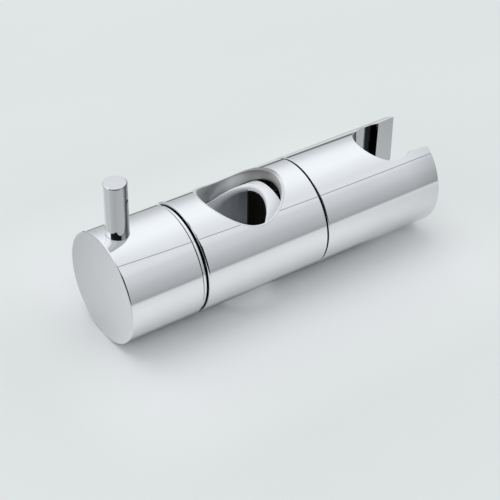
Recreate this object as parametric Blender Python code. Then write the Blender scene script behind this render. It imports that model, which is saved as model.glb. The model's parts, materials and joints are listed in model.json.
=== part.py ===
"""Shower rail slider: a chromed barrel that clamps on an upright rail and holds a handset.

Metres, +Z up. The origin is where the rail's axis crosses the barrel's axis. +X runs along the barrel
from the lever knob to the handset holder, and +Z runs up the rail.
"""

import math

import bmesh
import bpy
from mathutils import Vector

# Barrel, from the rail bore outwards
RAIL_BORE_DIAMETER = 0.0260     # for rails of up to 25 mm
BORE_TO_CHAMBER = 0.0013        # bore's side to the wall of the long chamber that the slide runs in
BODY_WALL = 0.0037              # chamber to the barrel's surface
NECK_GAP = 0.0006               # dark gap between neck flange and body
HOLDER_SEAM = 0.0007            # dark seam between body and holder
CLEARANCE = 0.0003              # between neighbours

# Edges
END_ROUNDING = 0.0005
MOUTH_ROUNDING = 0.0007
SEAM_ROUNDING = 0.0003
RAIL_BORE_ROUNDING = 0.0011

# Rib in the chamber, which keeps the slide's hole upright
GUIDE_RIB_WIDTH = 0.0030
GUIDE_RIB_HEIGHT = 0.0005

# Clamp slide, seen in its place on a thin rail
SLIDE_OFFSET = -0.0048          # its hole's axis from the rail bore's axis
SLIDE_TRAVEL_IN = 0.0008        # towards the knob, for the thinnest rail
SLIDE_END_GAP = 0.0011          # to the chamber's end, once hole and bore line up
SLIDE_HOLE_STEP = 0.0005        # how much narrower its hole is than the bore, each side
SLIDE_HOLE_ROUNDING = 0.0014
SLIDE_END_WALL = 0.0028         # hole to the holder-side end, at the middle
SLIDE_ROOT_WALL = 0.0020        # hole to the knob-side end, at the middle
SLIDE_EDGE = 0.0005
SLIDE_BOSS_WALL = 0.00165       # round the screw head's corners
PAD_THICKNESS = 0.0014
PAD_HALF_ANGLE = math.radians(41.0)
PAD_EDGE_SETBACK = 0.0021       # pad's ends below the slide's round surface

# Clamp screw and its nut
SCREW_DIAMETER = 0.0080
SCREW_HEAD_FLATS = 0.0130
SCREW_HEAD_HEIGHT = 0.0053
SCREW_HEAD_WALL = 0.0026        # boss wall that the head pulls on
CLAMP_NUT_FLATS = 0.0127
CLAMP_NUT_HEIGHT = 0.0060
CLAMP_NUT_WALL = 0.0018         # hub wall that the nut pulls on
CLIP_MARGIN = 0.00065           # to the nut pocket's flats
CLIP_THICKNESS = 0.0008
CLIP_GROOVE_DEPTH = 0.0008
CLIP_OPENING = math.radians(70.0)
SCREW_TIP_BEYOND_CLIP = 0.0008
SCREW_TIP_GAP = 0.0007          # to the knob's floor, with the slide right in

# Neck bush
NECK_PLUG_LENGTH = 0.0021
NECK_FLANGE_INSET = 0.00065     # below the barrel's surface
NECK_FLANGE_THICKNESS = 0.0011
NECK_FLANGE_EDGE = 0.00025
NECK_JOURNAL_LENGTH = 0.0048
O_RING_SECTION = 0.0020
THRUST_WASHER_THICKNESS = 0.0008
THRUST_WASHER_MARGIN = 0.0005

# Knob and lever pin
KNOB_WALL = 0.0027
KNOB_END_WALL = 0.0025
PIN_DIAMETER = 0.00726
PIN_FROM_END = 0.00646
PIN_REACH = 0.0178              # above the barrel's surface
PIN_ROUNDING = 0.0004
PIN_SEAT_DEPTH = 0.0015
PIN_SHANK_DIAMETER = 0.0050
PIN_TIP_WALL = 0.0016           # below the shank's hole, to the nut pocket's corner

# Spigot and pivot
SPIGOT_LENGTH = 0.0050
SPIGOT_WALL = 0.0022
SPIGOT_FLOOR = 0.0022
PIVOT_CUP_DIAMETER = 0.0176
PIVOT_CUP_MARGIN = 0.0013       # round the bush's flange
PIVOT_STEP = 0.0005             # from flange to washer and from washer to springs
FRICTION_RING_THICKNESS = 0.0019
FRICTION_RING_INSET = 0.0024    # below the barrel's surface
PIVOT_DIAMETER = 0.0060
PIVOT_BUSH_WALL = 0.0010
PIVOT_BUSH_FLANGE_THICKNESS = 0.0008
PIVOT_WASHER_THICKNESS = 0.0008
DISC_SPRING_THICKNESS = 0.0004
DISC_SPRING_RISE = 0.0003
PIVOT_NUT_FLATS = 0.0100
PIVOT_NUT_HEIGHT = 0.0030
INSERT_DIAMETER = 0.0110
INSERT_LENGTH = 0.0100

# Handset socket and hose slot
HOLDER_TILT = math.radians(6.0)  # top of the socket towards -Y, as pictured
INSERT_TO_SOCKET = 0.0075
SOCKET_FROM_END = 0.0120
SOCKET_DIAMETER = 0.0196         # at the top of the barrel
SLOT_SHOULDER = 0.0023           # step from the socket's side to the slot's throat
SLOT_FLARE = math.radians(6.0)   # each side, from throat to end
SOCKET_TAPER = math.radians(6.5)  # each side, down to the middle of the barrel

# Facets and working values
BARREL_SEGMENTS = 48
LENGTH_STEPS = 10               # along the barrel, past a cross hole
SIDE_STEPS = 3                  # from a cross hole's rim to the barrel's middle
SMALL_SEGMENTS = 24
STATIONS = 24                   # of hexagons and what joins them
CORNER_STEPS = 3
RIM_STEPS = 3
PAD_STEPS = 12
SOCKET_STEPS = 28
O_RING_STEPS = 10
HOLE_POINTS = BARREL_SEGMENTS + 2 * LENGTH_STEPS
CUT_PAST = 0.0020               # how far a cutter reaches past the surface
SHARP_ANGLE = math.radians(35.0)
WELD_DISTANCE = 1e-7

# Radii that fit one another
bore_radius = RAIL_BORE_DIAMETER / 2
chamber_radius = bore_radius + BORE_TO_CHAMBER
barrel_radius = chamber_radius + BODY_WALL
slide_radius = chamber_radius - CLEARANCE
slide_hole_radius = bore_radius - SLIDE_HOLE_STEP
screw_radius = SCREW_DIAMETER / 2
head_pocket_flats = SCREW_HEAD_FLATS + 2 * CLEARANCE
nut_pocket_flats = CLAMP_NUT_FLATS + 2 * CLEARANCE
flats_to_corners = 1 / math.cos(math.pi / 6)
boss_radius = head_pocket_flats / 2 * flats_to_corners + SLIDE_BOSS_WALL
neck_bore_radius = boss_radius + CLEARANCE
knob_bore_radius = barrel_radius - KNOB_WALL
journal_radius = knob_bore_radius - CLEARANCE
cup_radius = PIVOT_CUP_DIAMETER / 2
spigot_radius = cup_radius + SPIGOT_WALL
pivot_radius = PIVOT_DIAMETER / 2
ring_recess_radius = barrel_radius - FRICTION_RING_INSET + CLEARANCE

# The slide's own lengths, from its hole's axis
slide_front = slide_hole_radius + SLIDE_END_WALL
slide_back = -slide_hole_radius - SLIDE_ROOT_WALL
head_seat = slide_back - SCREW_HEAD_HEIGHT - CLEARANCE
boss_back = head_seat - SCREW_HEAD_WALL
slide_travel_out = -SLIDE_OFFSET

# Places on the knob's side, from the rail's axis outwards
plug_face = SLIDE_OFFSET + slide_back - SLIDE_TRAVEL_IN - CLEARANCE
body_start = plug_face - NECK_PLUG_LENGTH
flange_end = body_start - NECK_GAP
flange_start = flange_end - NECK_FLANGE_THICKNESS
knob_end = flange_start - CLEARANCE
journal_start = flange_start - NECK_JOURNAL_LENGTH
washer_end = journal_start - CLEARANCE
washer_start = washer_end - THRUST_WASHER_THICKNESS
hub_end = washer_start - CLEARANCE
nut_end = hub_end - CLAMP_NUT_WALL - CLEARANCE
nut_start = nut_end - CLAMP_NUT_HEIGHT
clip_end = nut_start - slide_travel_out - CLEARANCE
clip_start = clip_end - CLIP_THICKNESS
screw_tip = clip_start - CLEARANCE - SCREW_TIP_BEYOND_CLIP
knob_floor = screw_tip - SLIDE_TRAVEL_IN - SCREW_TIP_GAP
hub_start = knob_floor + CLEARANCE
knob_start = knob_floor - KNOB_END_WALL
pin_x = knob_start + PIN_FROM_END
pin_seat = barrel_radius - PIN_SEAT_DEPTH
pin_hole_bottom = nut_pocket_flats / 2 * flats_to_corners + PIN_TIP_WALL

# Places on the holder's side, from the rail's axis outwards
chamber_end = SLIDE_OFFSET + slide_front + slide_travel_out + SLIDE_END_GAP
pivot_nut_start = chamber_end + CLEARANCE
pivot_nut_end = pivot_nut_start + PIVOT_NUT_HEIGHT
springs_start = pivot_nut_end + CLEARANCE
spring_height = DISC_SPRING_THICKNESS + DISC_SPRING_RISE
springs_end = springs_start + 2 * spring_height + CLEARANCE
pivot_washer_start = springs_end + CLEARANCE
pivot_washer_end = pivot_washer_start + PIVOT_WASHER_THICKNESS
bush_flange_start = pivot_washer_end + CLEARANCE
bush_flange_end = bush_flange_start + PIVOT_BUSH_FLANGE_THICKNESS
cup_floor = bush_flange_end + CLEARANCE
spigot_end = cup_floor + SPIGOT_FLOOR
body_end = spigot_end - SPIGOT_LENGTH
holder_start = body_end + HOLDER_SEAM
ring_recess = (FRICTION_RING_THICKNESS + 2 * CLEARANCE - HOLDER_SEAM) / 2
holder_floor = spigot_end + 2 * CLEARANCE
insert_start = holder_floor + CLEARANCE
insert_end = insert_start + INSERT_LENGTH
insert_floor = insert_end + CLEARANCE
socket_x = insert_floor + INSERT_TO_SOCKET + SOCKET_DIAMETER / 2
holder_end = socket_x + SOCKET_FROM_END


def clear_scene():
    for item in list(bpy.data.objects):
        bpy.data.objects.remove(item, do_unlink=True)


def make_material(name, colour, metallic, roughness):
    material = bpy.data.materials.new(name)
    material.use_nodes = True
    shader = material.node_tree.nodes["Principled BSDF"]
    shader.inputs["Base Color"].default_value = (*colour, 1.0)
    shader.inputs["Metallic"].default_value = metallic
    shader.inputs["Roughness"].default_value = roughness
    return material


def make_empty(name, location=(0.0, 0.0, 0.0), turn=0.0):
    empty = bpy.data.objects.new(name, None)
    bpy.context.scene.collection.objects.link(empty)
    empty.location = location
    empty.rotation_euler = (turn, 0.0, 0.0)
    return empty


def make_object(name, bm, material, parent=None):
    """Close and orient a mesh, and turn it into a smooth-shaded object."""
    bmesh.ops.remove_doubles(bm, verts=bm.verts, dist=WELD_DISTANCE)
    bmesh.ops.recalc_face_normals(bm, faces=bm.faces)
    mesh = bpy.data.meshes.new(name)
    bm.to_mesh(mesh)
    bm.free()
    mesh.shade_smooth()
    mesh.set_sharp_from_angle(angle=SHARP_ANGLE)
    if material is not None:
        mesh.materials.append(material)
    item = bpy.data.objects.new(name, mesh)
    bpy.context.scene.collection.objects.link(item)
    item.parent = parent
    return item


def spin_mesh(outline, segments, upright_at=None):
    """Spin a closed outline of (along, radius) about X, or about the vertical at x = upright_at."""
    bm = bmesh.new()
    verts = []
    for along, radius in outline:
        if upright_at is None:
            verts.append(bm.verts.new((along, 0.0, radius)))
        else:
            verts.append(bm.verts.new((upright_at + radius, 0.0, along)))
    edges = []
    for index, vert in enumerate(verts):
        following = (index + 1) % len(verts)
        on_axis = outline[index][1] == 0.0 and outline[following][1] == 0.0
        if not on_axis:
            edges.append(bm.edges.new((vert, verts[following])))
    centre = (upright_at or 0.0, 0.0, 0.0)
    axis = (1.0, 0.0, 0.0) if upright_at is None else (0.0, 0.0, 1.0)
    bmesh.ops.spin(
        bm, geom=verts + edges, cent=centre, axis=axis, angle=2 * math.pi, steps=segments, use_merge=True
    )
    return bm


def turned(name, outline, material, segments=SMALL_SEGMENTS, parent=None, upright_at=None):
    return make_object(name, spin_mesh(outline, segments, upright_at), material, parent)


def skin_mesh(rings, wrap=False):
    """Join rings of equally many points by faces, and cap the two ends or join them to each other."""
    bm = bmesh.new()
    loops = []
    for ring in rings:
        loops.append([bm.verts.new(point) for point in ring])
    pairs = list(zip(loops, loops[1:]))
    if wrap:
        pairs.append((loops[-1], loops[0]))
    else:
        bm.faces.new(loops[0])
        bm.faces.new(loops[-1])
    for lower, upper in pairs:
        count = len(lower)
        for index in range(count):
            following = (index + 1) % count
            bm.faces.new((lower[index], lower[following], upper[following], upper[index]))
    return bm


def skinned(name, rings, material, parent=None, wrap=False):
    return make_object(name, skin_mesh(rings, wrap), material, parent)


def circle_ring(x, radius, count=STATIONS):
    """Points of a circle round the X axis."""
    ring = []
    for index in range(count):
        angle = 2 * math.pi * index / count
        ring.append((x, radius * math.sin(angle), radius * math.cos(angle)))
    return ring


def hexagon_ring(x, flats, count=STATIONS):
    """Points of a hexagon round the X axis, with its corners among them."""
    ring = []
    sixth = math.pi / 3
    for index in range(count):
        angle = 2 * math.pi * index / count
        from_flat = angle % sixth - sixth / 2
        radius = flats / 2 / math.cos(from_flat)
        ring.append((x, radius * math.sin(angle), radius * math.cos(angle)))
    return ring


def rounded_corner(x, radius, size, end):
    """Quarter round on an outer edge, from the end face to the side; end is -1 or +1."""
    points = []
    for step in range(CORNER_STEPS + 1):
        angle = math.pi / 2 * step / CORNER_STEPS
        along = x - end * size * (1 - math.cos(angle))
        points.append((along, radius - size * (1 - math.sin(angle))))
    return points


def add_boolean(target, tool, operation="DIFFERENCE"):
    """Cut a tool out of a piece, or join it on, and show the tool as a wire guide only."""
    modifier = target.modifiers.new(tool.name, "BOOLEAN")
    modifier.operation = operation
    modifier.solver = "EXACT"
    modifier.object = tool
    tool.hide_render = True
    tool.display_type = "WIRE"


def round_cutter(name, x0, x1, radius, parent=None, segments=SMALL_SEGMENTS):
    outline = [(x0, 0.0), (x0, radius), (x1, radius), (x1, 0.0)]
    return turned(name, outline, None, segments, parent)


def hexagon_cutter(name, x0, x1, flats, parent=None):
    return skinned(name, [hexagon_ring(x0, flats), hexagon_ring(x1, flats)], None, parent)


def box_tool(name, low, high, parent=None):
    bm = bmesh.new()
    bmesh.ops.create_cube(bm, size=1.0)
    size = Vector(high) - Vector(low)
    bmesh.ops.scale(bm, vec=size, verts=bm.verts)
    bmesh.ops.translate(bm, vec=(Vector(high) + Vector(low)) / 2, verts=bm.verts)
    return make_object(name, bm, None, parent)


def join_loops(bm, loops):
    """Faces between loops of equally many points, each loop closed on itself."""
    made = [[bm.verts.new(point) for point in loop] for loop in loops]
    for lower, upper in zip(made, made[1:]):
        for index in range(len(lower)):
            following = (index + 1) % len(lower)
            bm.faces.new((lower[index], lower[following], upper[following], upper[index]))
    return made


def hole_angle(index):
    return 2 * math.pi * (index - BARREL_SEGMENTS / 4) / HOLE_POINTS


def edge_of_half(x0, x1, index):
    """Place (x, angle from the top) of one point on the outline of a half barrel, laid out flat."""
    half_round = BARREL_SEGMENTS // 2
    corners = ((x1, -1.0), (x1, 1.0), (x0, 1.0), (x0, -1.0), (x1, -1.0))
    left = index
    for side in range(4):
        steps = half_round if side % 2 == 0 else LENGTH_STEPS
        if left <= steps:
            share = left / steps
            first, second = corners[side], corners[side + 1]
            x = first[0] + (second[0] - first[0]) * share
            return x, math.pi / 2 * (first[1] + (second[1] - first[1]) * share)
        left -= steps


def rim_loops(outer_radius, hole_radius, rounding):
    """Loops of a hole's upper rim, from the hole's wall out to the bar's surface.

    In the upright plane at each angle, the rim is a curve that leaves the wall and lands on the surface,
    both at the rounding's distance from the sharp edge.
    """
    loops = []
    steps = RIM_STEPS if rounding else 0
    for step in range(steps + 1):
        share = step / steps if steps else 0.0
        loop = []
        for index in range(HOLE_POINTS):
            angle = hole_angle(index)
            across = math.sin(angle)
            edge_height = math.sqrt(outer_radius**2 - (hole_radius * across) ** 2)
            slope = -hole_radius * across**2 / edge_height
            landing = hole_radius + rounding / math.sqrt(1 + slope**2)
            landing_height = math.sqrt(outer_radius**2 - (landing * across) ** 2)
            start_weight = (1 - share) ** 2
            edge_weight = 2 * share * (1 - share)
            land_weight = share**2
            reach = hole_radius * (start_weight + edge_weight) + landing * land_weight
            height = start_weight * (edge_height - rounding)
            height += edge_weight * edge_height + land_weight * landing_height
            loop.append((reach * math.cos(angle), reach * across, height))
        loops.append(loop)
    return loops


def side_loops(rim, x0, x1, radius):
    """Loops on the bar's surface from the rim's last loop out to the edge of the upper half."""
    loops = []
    for step in range(1, SIDE_STEPS + 1):
        share = step / SIDE_STEPS
        loop = []
        for index, (rim_x, rim_y, _) in enumerate(rim):
            edge_x, edge_angle = edge_of_half(x0, x1, index)
            x = rim_x + (edge_x - rim_x) * share
            angle = math.asin(rim_y / radius) * (1 - share) + edge_angle * share
            loop.append((x, radius * math.sin(angle), radius * math.cos(angle)))
        loops.append(loop)
    return loops


def mirrored(loops, side):
    return [[(x, y, side * z) for x, y, z in loop] for loop in loops]


def cross_holed_mesh(x0, x1, outer_radius, hole_radius, rounding, inside=None):
    """Side of a bar along X with an upright hole at x = 0, open at both ends.

    inside gives a chamber's own start, end and radius.
    """
    bm = bmesh.new()
    rim = rim_loops(outer_radius, hole_radius, rounding)
    outer = rim + side_loops(rim[-1], x0, x1, outer_radius)
    for side in (1, -1):
        join_loops(bm, mirrored(outer, side))
        if inside:
            inner_x0, inner_x1, inner_radius = inside
            inner_rim = rim_loops(inner_radius, hole_radius, 0.0)
            inner = [rim[0]] + inner_rim + side_loops(inner_rim[0], inner_x0, inner_x1, inner_radius)
            join_loops(bm, mirrored(inner, side))
    if not inside:
        join_loops(bm, [rim[0], mirrored([rim[0]], -1)[0]])
    return bm


def add_turned_end(bm, outline, cap=False):
    """Rings round X that carry a holed bar's end on, closed by a flat face if asked."""
    rings = [circle_ring(x, radius, BARREL_SEGMENTS) for x, radius in outline]
    made = join_loops(bm, rings)
    if cap:
        bm.faces.new(made[-1])


def pad_rings(inner, outer, half_angle, top_radius):
    """Curved block on the +X side of the upright axis, its ends cut to a round surface."""
    rings = []
    for step in range(PAD_STEPS + 1):
        angle = half_angle * (2 * step / PAD_STEPS - 1)
        ring = []
        for radius, side in ((inner, 1), (outer, 1), (outer, -1), (inner, -1)):
            y = radius * math.sin(angle)
            z = math.sqrt(top_radius**2 - y**2)
            ring.append((radius * math.cos(angle), y, side * z))
        rings.append(ring)
    return rings


def keyhole_ring(z, shrink):
    """Plan of the handset socket and its slot at one height, shrunk on every side by the taper."""
    radius = SOCKET_DIAMETER / 2 - shrink
    throat = radius - SLOT_SHOULDER
    opening = math.asin(throat / radius)
    throat_x = socket_x + radius * math.cos(opening)
    beyond = holder_end + CUT_PAST
    mouth = throat + (beyond - throat_x) * math.tan(SLOT_FLARE)
    ring = []
    for step in range(SOCKET_STEPS + 1):
        angle = opening + (2 * math.pi - 2 * opening) * step / SOCKET_STEPS
        ring.append((socket_x + radius * math.cos(angle), radius * math.sin(angle), z))
    ring.append((beyond, -mouth, z))
    ring.append((beyond, mouth, z))
    return ring


def build_body(chrome):
    """Barrel with its bore, end wall, guide rib and the spigot on which the holder turns."""
    side_start = body_start + MOUTH_ROUNDING
    side_end = body_end - SEAM_ROUNDING
    chamber = (body_start, chamber_end, chamber_radius)
    bm = cross_holed_mesh(side_start, side_end, barrel_radius, bore_radius, RAIL_BORE_ROUNDING, chamber)
    mouth = rounded_corner(body_start, barrel_radius, MOUTH_ROUNDING, -1)
    add_turned_end(bm, mouth[::-1] + [(body_start, chamber_radius)])
    pivot_hole_radius = pivot_radius + PIVOT_BUSH_WALL + 2 * CLEARANCE
    end_outline = rounded_corner(body_end, barrel_radius, SEAM_ROUNDING, 1)[::-1]
    end_outline += [
        (body_end, ring_recess_radius),
        (body_end - ring_recess, ring_recess_radius),
        (body_end - ring_recess, spigot_radius),
        (spigot_end, spigot_radius),
        (spigot_end, pivot_hole_radius),
        (cup_floor, pivot_hole_radius),
        (cup_floor, cup_radius),
        (chamber_end, cup_radius),
        (chamber_end, chamber_radius),
    ]
    add_turned_end(bm, end_outline)
    body = make_object("slider_body", bm, chrome)
    half = GUIDE_RIB_WIDTH / 2
    rib = box_tool(
        "guide_rib_tool",
        (plug_face + CLEARANCE, chamber_radius - GUIDE_RIB_HEIGHT, -half),
        (chamber_end + CLEARANCE, chamber_radius + GUIDE_RIB_HEIGHT, half),
    )
    add_boolean(body, rib, "UNION")


def build_neck(chrome, slip_plastic, rubber):
    """Bush in the body's mouth: plug, visible flange and the journal that carries the knob."""
    groove_radius = journal_radius - O_RING_SECTION - CLEARANCE
    groove_middle = (journal_start + flange_start) / 2
    groove_half = O_RING_SECTION / 2 + CLEARANCE
    flange_radius = barrel_radius - NECK_FLANGE_INSET
    outline = [
        (plug_face, neck_bore_radius),
        (plug_face, slide_radius),
        (flange_end, slide_radius),
        (flange_end, flange_radius - NECK_FLANGE_EDGE),
        (flange_end - NECK_FLANGE_EDGE, flange_radius),
        (flange_start + NECK_FLANGE_EDGE, flange_radius),
        (flange_start, flange_radius - NECK_FLANGE_EDGE),
        (flange_start, journal_radius),
        (groove_middle + groove_half, journal_radius),
        (groove_middle + groove_half, groove_radius),
        (groove_middle - groove_half, groove_radius),
        (groove_middle - groove_half, journal_radius),
        (journal_start, journal_radius),
        (journal_start, neck_bore_radius),
    ]
    turned("neck_bush", outline, chrome, BARREL_SEGMENTS)
    ring_middle = journal_radius - O_RING_SECTION / 2
    ring = []
    for step in range(O_RING_STEPS):
        angle = 2 * math.pi * step / O_RING_STEPS
        along = groove_middle + O_RING_SECTION / 2 * math.cos(angle)
        ring.append((along, ring_middle + O_RING_SECTION / 2 * math.sin(angle)))
    turned("neck_o_ring", ring, rubber, SMALL_SEGMENTS)
    inner = neck_bore_radius + THRUST_WASHER_MARGIN
    outer = journal_radius - THRUST_WASHER_MARGIN
    washer = [(washer_start, inner), (washer_end, inner), (washer_end, outer), (washer_start, outer)]
    turned("thrust_washer", washer, slip_plastic)


def pin_hole_cutter(name, parent):
    """Stepped hole from above: the pin's seat in the barrel and its shank's hole below."""
    wide = PIN_DIAMETER / 2 + CLEARANCE
    narrow = PIN_SHANK_DIAMETER / 2 + CLEARANCE
    above = barrel_radius + CUT_PAST
    outline = [
        (pin_hole_bottom, 0.0),
        (pin_hole_bottom, narrow),
        (pin_seat, narrow),
        (pin_seat, wide),
        (above, wide),
        (above, 0.0),
    ]
    return turned(name, outline, None, SMALL_SEGMENTS, parent, upright_at=pin_x)


def build_knob(axis, chrome, hub_plastic, brass):
    """Hollow knob, its core and nut, and the lever pin screwed into both from above."""
    outline = [(knob_start, 0.0)]
    outline += rounded_corner(knob_start, barrel_radius, END_ROUNDING, -1)
    outline += reversed(rounded_corner(knob_end, barrel_radius, SEAM_ROUNDING, 1))
    outline += [(knob_end, knob_bore_radius), (knob_floor, knob_bore_radius), (knob_floor, 0.0)]
    knob = turned("lever_knob", outline, chrome, BARREL_SEGMENTS, axis)
    add_boolean(knob, pin_hole_cutter("knob_pin_cutter", axis))

    hub_radius = knob_bore_radius - CLEARANCE
    hub_outline = [(hub_start, 0.0)]
    hub_outline += rounded_corner(hub_start, hub_radius, END_ROUNDING, -1)
    hub_outline += [(hub_end, hub_radius), (hub_end, 0.0)]
    hub = turned("knob_hub", hub_outline, hub_plastic, SMALL_SEGMENTS, axis)
    bore = screw_radius + CLEARANCE
    past_start = hub_start - CLEARANCE
    pocket_end = nut_end + CLEARANCE
    add_boolean(hub, hexagon_cutter("nut_pocket_cutter", past_start, pocket_end, nut_pocket_flats, axis))
    add_boolean(hub, round_cutter("hub_bore_cutter", past_start, hub_end + CLEARANCE, bore, axis))
    add_boolean(hub, pin_hole_cutter("hub_pin_cutter", axis))

    nut_rings = [
        circle_ring(nut_start, bore),
        hexagon_ring(nut_start, CLAMP_NUT_FLATS),
        hexagon_ring(nut_end, CLAMP_NUT_FLATS),
        circle_ring(nut_end, bore),
    ]
    skinned("knob_nut", nut_rings, brass, axis, wrap=True)

    seat = pin_seat + CLEARANCE
    tip = pin_hole_bottom + CLEARANCE
    top = barrel_radius + PIN_REACH
    shank_radius = PIN_SHANK_DIAMETER / 2
    pin_outline = [(tip, 0.0), (tip, shank_radius), (seat, shank_radius), (seat, PIN_DIAMETER / 2)]
    pin_outline += reversed(rounded_corner(top, PIN_DIAMETER / 2, PIN_ROUNDING, 1))
    pin_outline += [(top, 0.0)]
    turned("lever_pin", pin_outline, chrome, SMALL_SEGMENTS, axis, upright_at=pin_x)


def build_slide(axis, white_plastic, rubber, steel):
    """Slide with its rail hole, pad and screw, modelled round its own hole's axis."""
    side_start = slide_back + SLIDE_EDGE
    side_end = slide_front - SLIDE_EDGE
    bm = cross_holed_mesh(side_start, side_end, slide_radius, slide_hole_radius, SLIDE_HOLE_ROUNDING)
    boss_outline = [
        (side_start, slide_radius),
        (slide_back, slide_radius - SLIDE_EDGE),
        (slide_back, boss_radius),
        (boss_back + SLIDE_EDGE, boss_radius),
        (boss_back, boss_radius - SLIDE_EDGE),
    ]
    add_turned_end(bm, boss_outline, cap=True)
    front_outline = [(side_end, slide_radius), (slide_front, slide_radius - SLIDE_EDGE)]
    add_turned_end(bm, front_outline, cap=True)
    slide = make_object("clamp_slide", bm, white_plastic, axis)
    groove_half = GUIDE_RIB_WIDTH / 2 + CLEARANCE
    groove = box_tool(
        "guide_groove_cutter",
        (slide_back - CLEARANCE, slide_radius - GUIDE_RIB_HEIGHT, -groove_half),
        (slide_front + CLEARANCE, chamber_radius, groove_half),
        axis,
    )
    pad_outer = slide_hole_radius + PAD_THICKNESS
    pad_top = slide_radius - PAD_EDGE_SETBACK
    pocket_angle = PAD_HALF_ANGLE + CLEARANCE / slide_hole_radius
    in_hole = slide_hole_radius / 2
    pocket = pad_rings(in_hole, pad_outer + CLEARANCE, pocket_angle, pad_top + CLEARANCE)
    head_pocket = hexagon_cutter("head_pocket_cutter", head_seat, -in_hole, head_pocket_flats, axis)
    past_back = boss_back - CLEARANCE
    past_seat = head_seat + CLEARANCE
    screw_hole = round_cutter("screw_hole_cutter", past_back, past_seat, screw_radius + CLEARANCE, axis)
    add_boolean(slide, head_pocket)
    add_boolean(slide, screw_hole)
    add_boolean(slide, skinned("pad_pocket_cutter", pocket, None, axis))
    add_boolean(slide, groove)
    skinned("grip_pad", pad_rings(slide_hole_radius, pad_outer, PAD_HALF_ANGLE, pad_top), rubber, axis)

    head_start = head_seat + CLEARANCE
    own_clip_start = clip_start - SLIDE_OFFSET
    own_clip_end = clip_end - SLIDE_OFFSET
    groove_radius = screw_radius - CLIP_GROOVE_DEPTH
    screw_rings = [
        hexagon_ring(head_start + SCREW_HEAD_HEIGHT, SCREW_HEAD_FLATS),
        hexagon_ring(head_start, SCREW_HEAD_FLATS),
        circle_ring(head_start, screw_radius),
        circle_ring(own_clip_end + CLEARANCE, screw_radius),
        circle_ring(own_clip_end + CLEARANCE, groove_radius),
        circle_ring(own_clip_start - CLEARANCE, groove_radius),
        circle_ring(own_clip_start - CLEARANCE, screw_radius),
        circle_ring(screw_tip - SLIDE_OFFSET, screw_radius),
    ]
    skinned("clamp_screw", screw_rings, steel, axis)

    clip_inner = groove_radius + CLEARANCE
    clip_outer = nut_pocket_flats / 2 - CLIP_MARGIN
    clip_rings = []
    for step in range(STATIONS + 1):
        angle = CLIP_OPENING / 2 + (2 * math.pi - CLIP_OPENING) * step / STATIONS
        across, up = math.sin(angle), math.cos(angle)
        inner = [(x, clip_inner * across, clip_inner * up) for x in (own_clip_start, own_clip_end)]
        outer = [(x, clip_outer * across, clip_outer * up) for x in (own_clip_end, own_clip_start)]
        clip_rings.append(inner + outer)
    skinned("stop_clip", clip_rings, steel, axis)


def build_pivot(axis, slip_plastic, steel, brass, rubber):
    """What the holder turns on: bush and ring stay with the body, the rest turns with the holder."""
    sleeve_inner = pivot_radius + CLEARANCE
    sleeve_outer = sleeve_inner + PIVOT_BUSH_WALL
    flange_outer = cup_radius - PIVOT_CUP_MARGIN
    washer_outer = flange_outer - PIVOT_STEP
    spring_outer = washer_outer - PIVOT_STEP
    bush_outline = [
        (bush_flange_start, sleeve_inner),
        (bush_flange_start, flange_outer),
        (bush_flange_end, flange_outer),
        (bush_flange_end, sleeve_outer),
        (spigot_end, sleeve_outer),
        (spigot_end, sleeve_inner),
    ]
    turned("pivot_bush", bush_outline, slip_plastic)

    ring_start = body_end - ring_recess + CLEARANCE
    ring_end = ring_start + FRICTION_RING_THICKNESS
    ring_inner = spigot_radius + 2 * CLEARANCE
    ring_outer = ring_recess_radius - CLEARANCE
    ring_outline = [
        (ring_start, ring_inner),
        (ring_start, ring_outer),
        (ring_end, ring_outer),
        (ring_end, ring_inner),
    ]
    turned("friction_ring", ring_outline, rubber, BARREL_SEGMENTS)

    washer_outline = [
        (pivot_washer_start, sleeve_inner),
        (pivot_washer_start, washer_outer),
        (pivot_washer_end, washer_outer),
        (pivot_washer_end, sleeve_inner),
    ]
    turned("pivot_washer", washer_outline, steel, parent=axis)

    springs = (
        ("disc_spring_left", springs_start, 0.0, DISC_SPRING_RISE),
        ("disc_spring_right", springs_end - spring_height, DISC_SPRING_RISE, 0.0),
    )
    for name, start, inner_rise, outer_rise in springs:
        spring_outline = [
            (start + inner_rise, sleeve_inner),
            (start + outer_rise, spring_outer),
            (start + outer_rise + DISC_SPRING_THICKNESS, spring_outer),
            (start + inner_rise + DISC_SPRING_THICKNESS, sleeve_inner),
        ]
        turned(name, spring_outline, steel, parent=axis)

    nut_rings = [
        circle_ring(pivot_nut_start, sleeve_inner),
        hexagon_ring(pivot_nut_start, PIVOT_NUT_FLATS),
        hexagon_ring(pivot_nut_end, PIVOT_NUT_FLATS),
        circle_ring(pivot_nut_end, sleeve_inner),
    ]
    skinned("pivot_nut", nut_rings, steel, axis, wrap=True)

    stud_start = pivot_nut_start - CLEARANCE
    stud_end = insert_end - CLEARANCE
    stud_outline = [(stud_start, 0.0), (stud_start, pivot_radius), (stud_end, pivot_radius), (stud_end, 0.0)]
    turned("pivot_stud", stud_outline, steel, parent=axis)

    insert_outer = INSERT_DIAMETER / 2
    insert_outline = [
        (insert_start, sleeve_inner),
        (insert_start, insert_outer),
        (insert_end, insert_outer),
        (insert_end, sleeve_inner),
    ]
    turned("holder_insert", insert_outline, brass, parent=axis)


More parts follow.
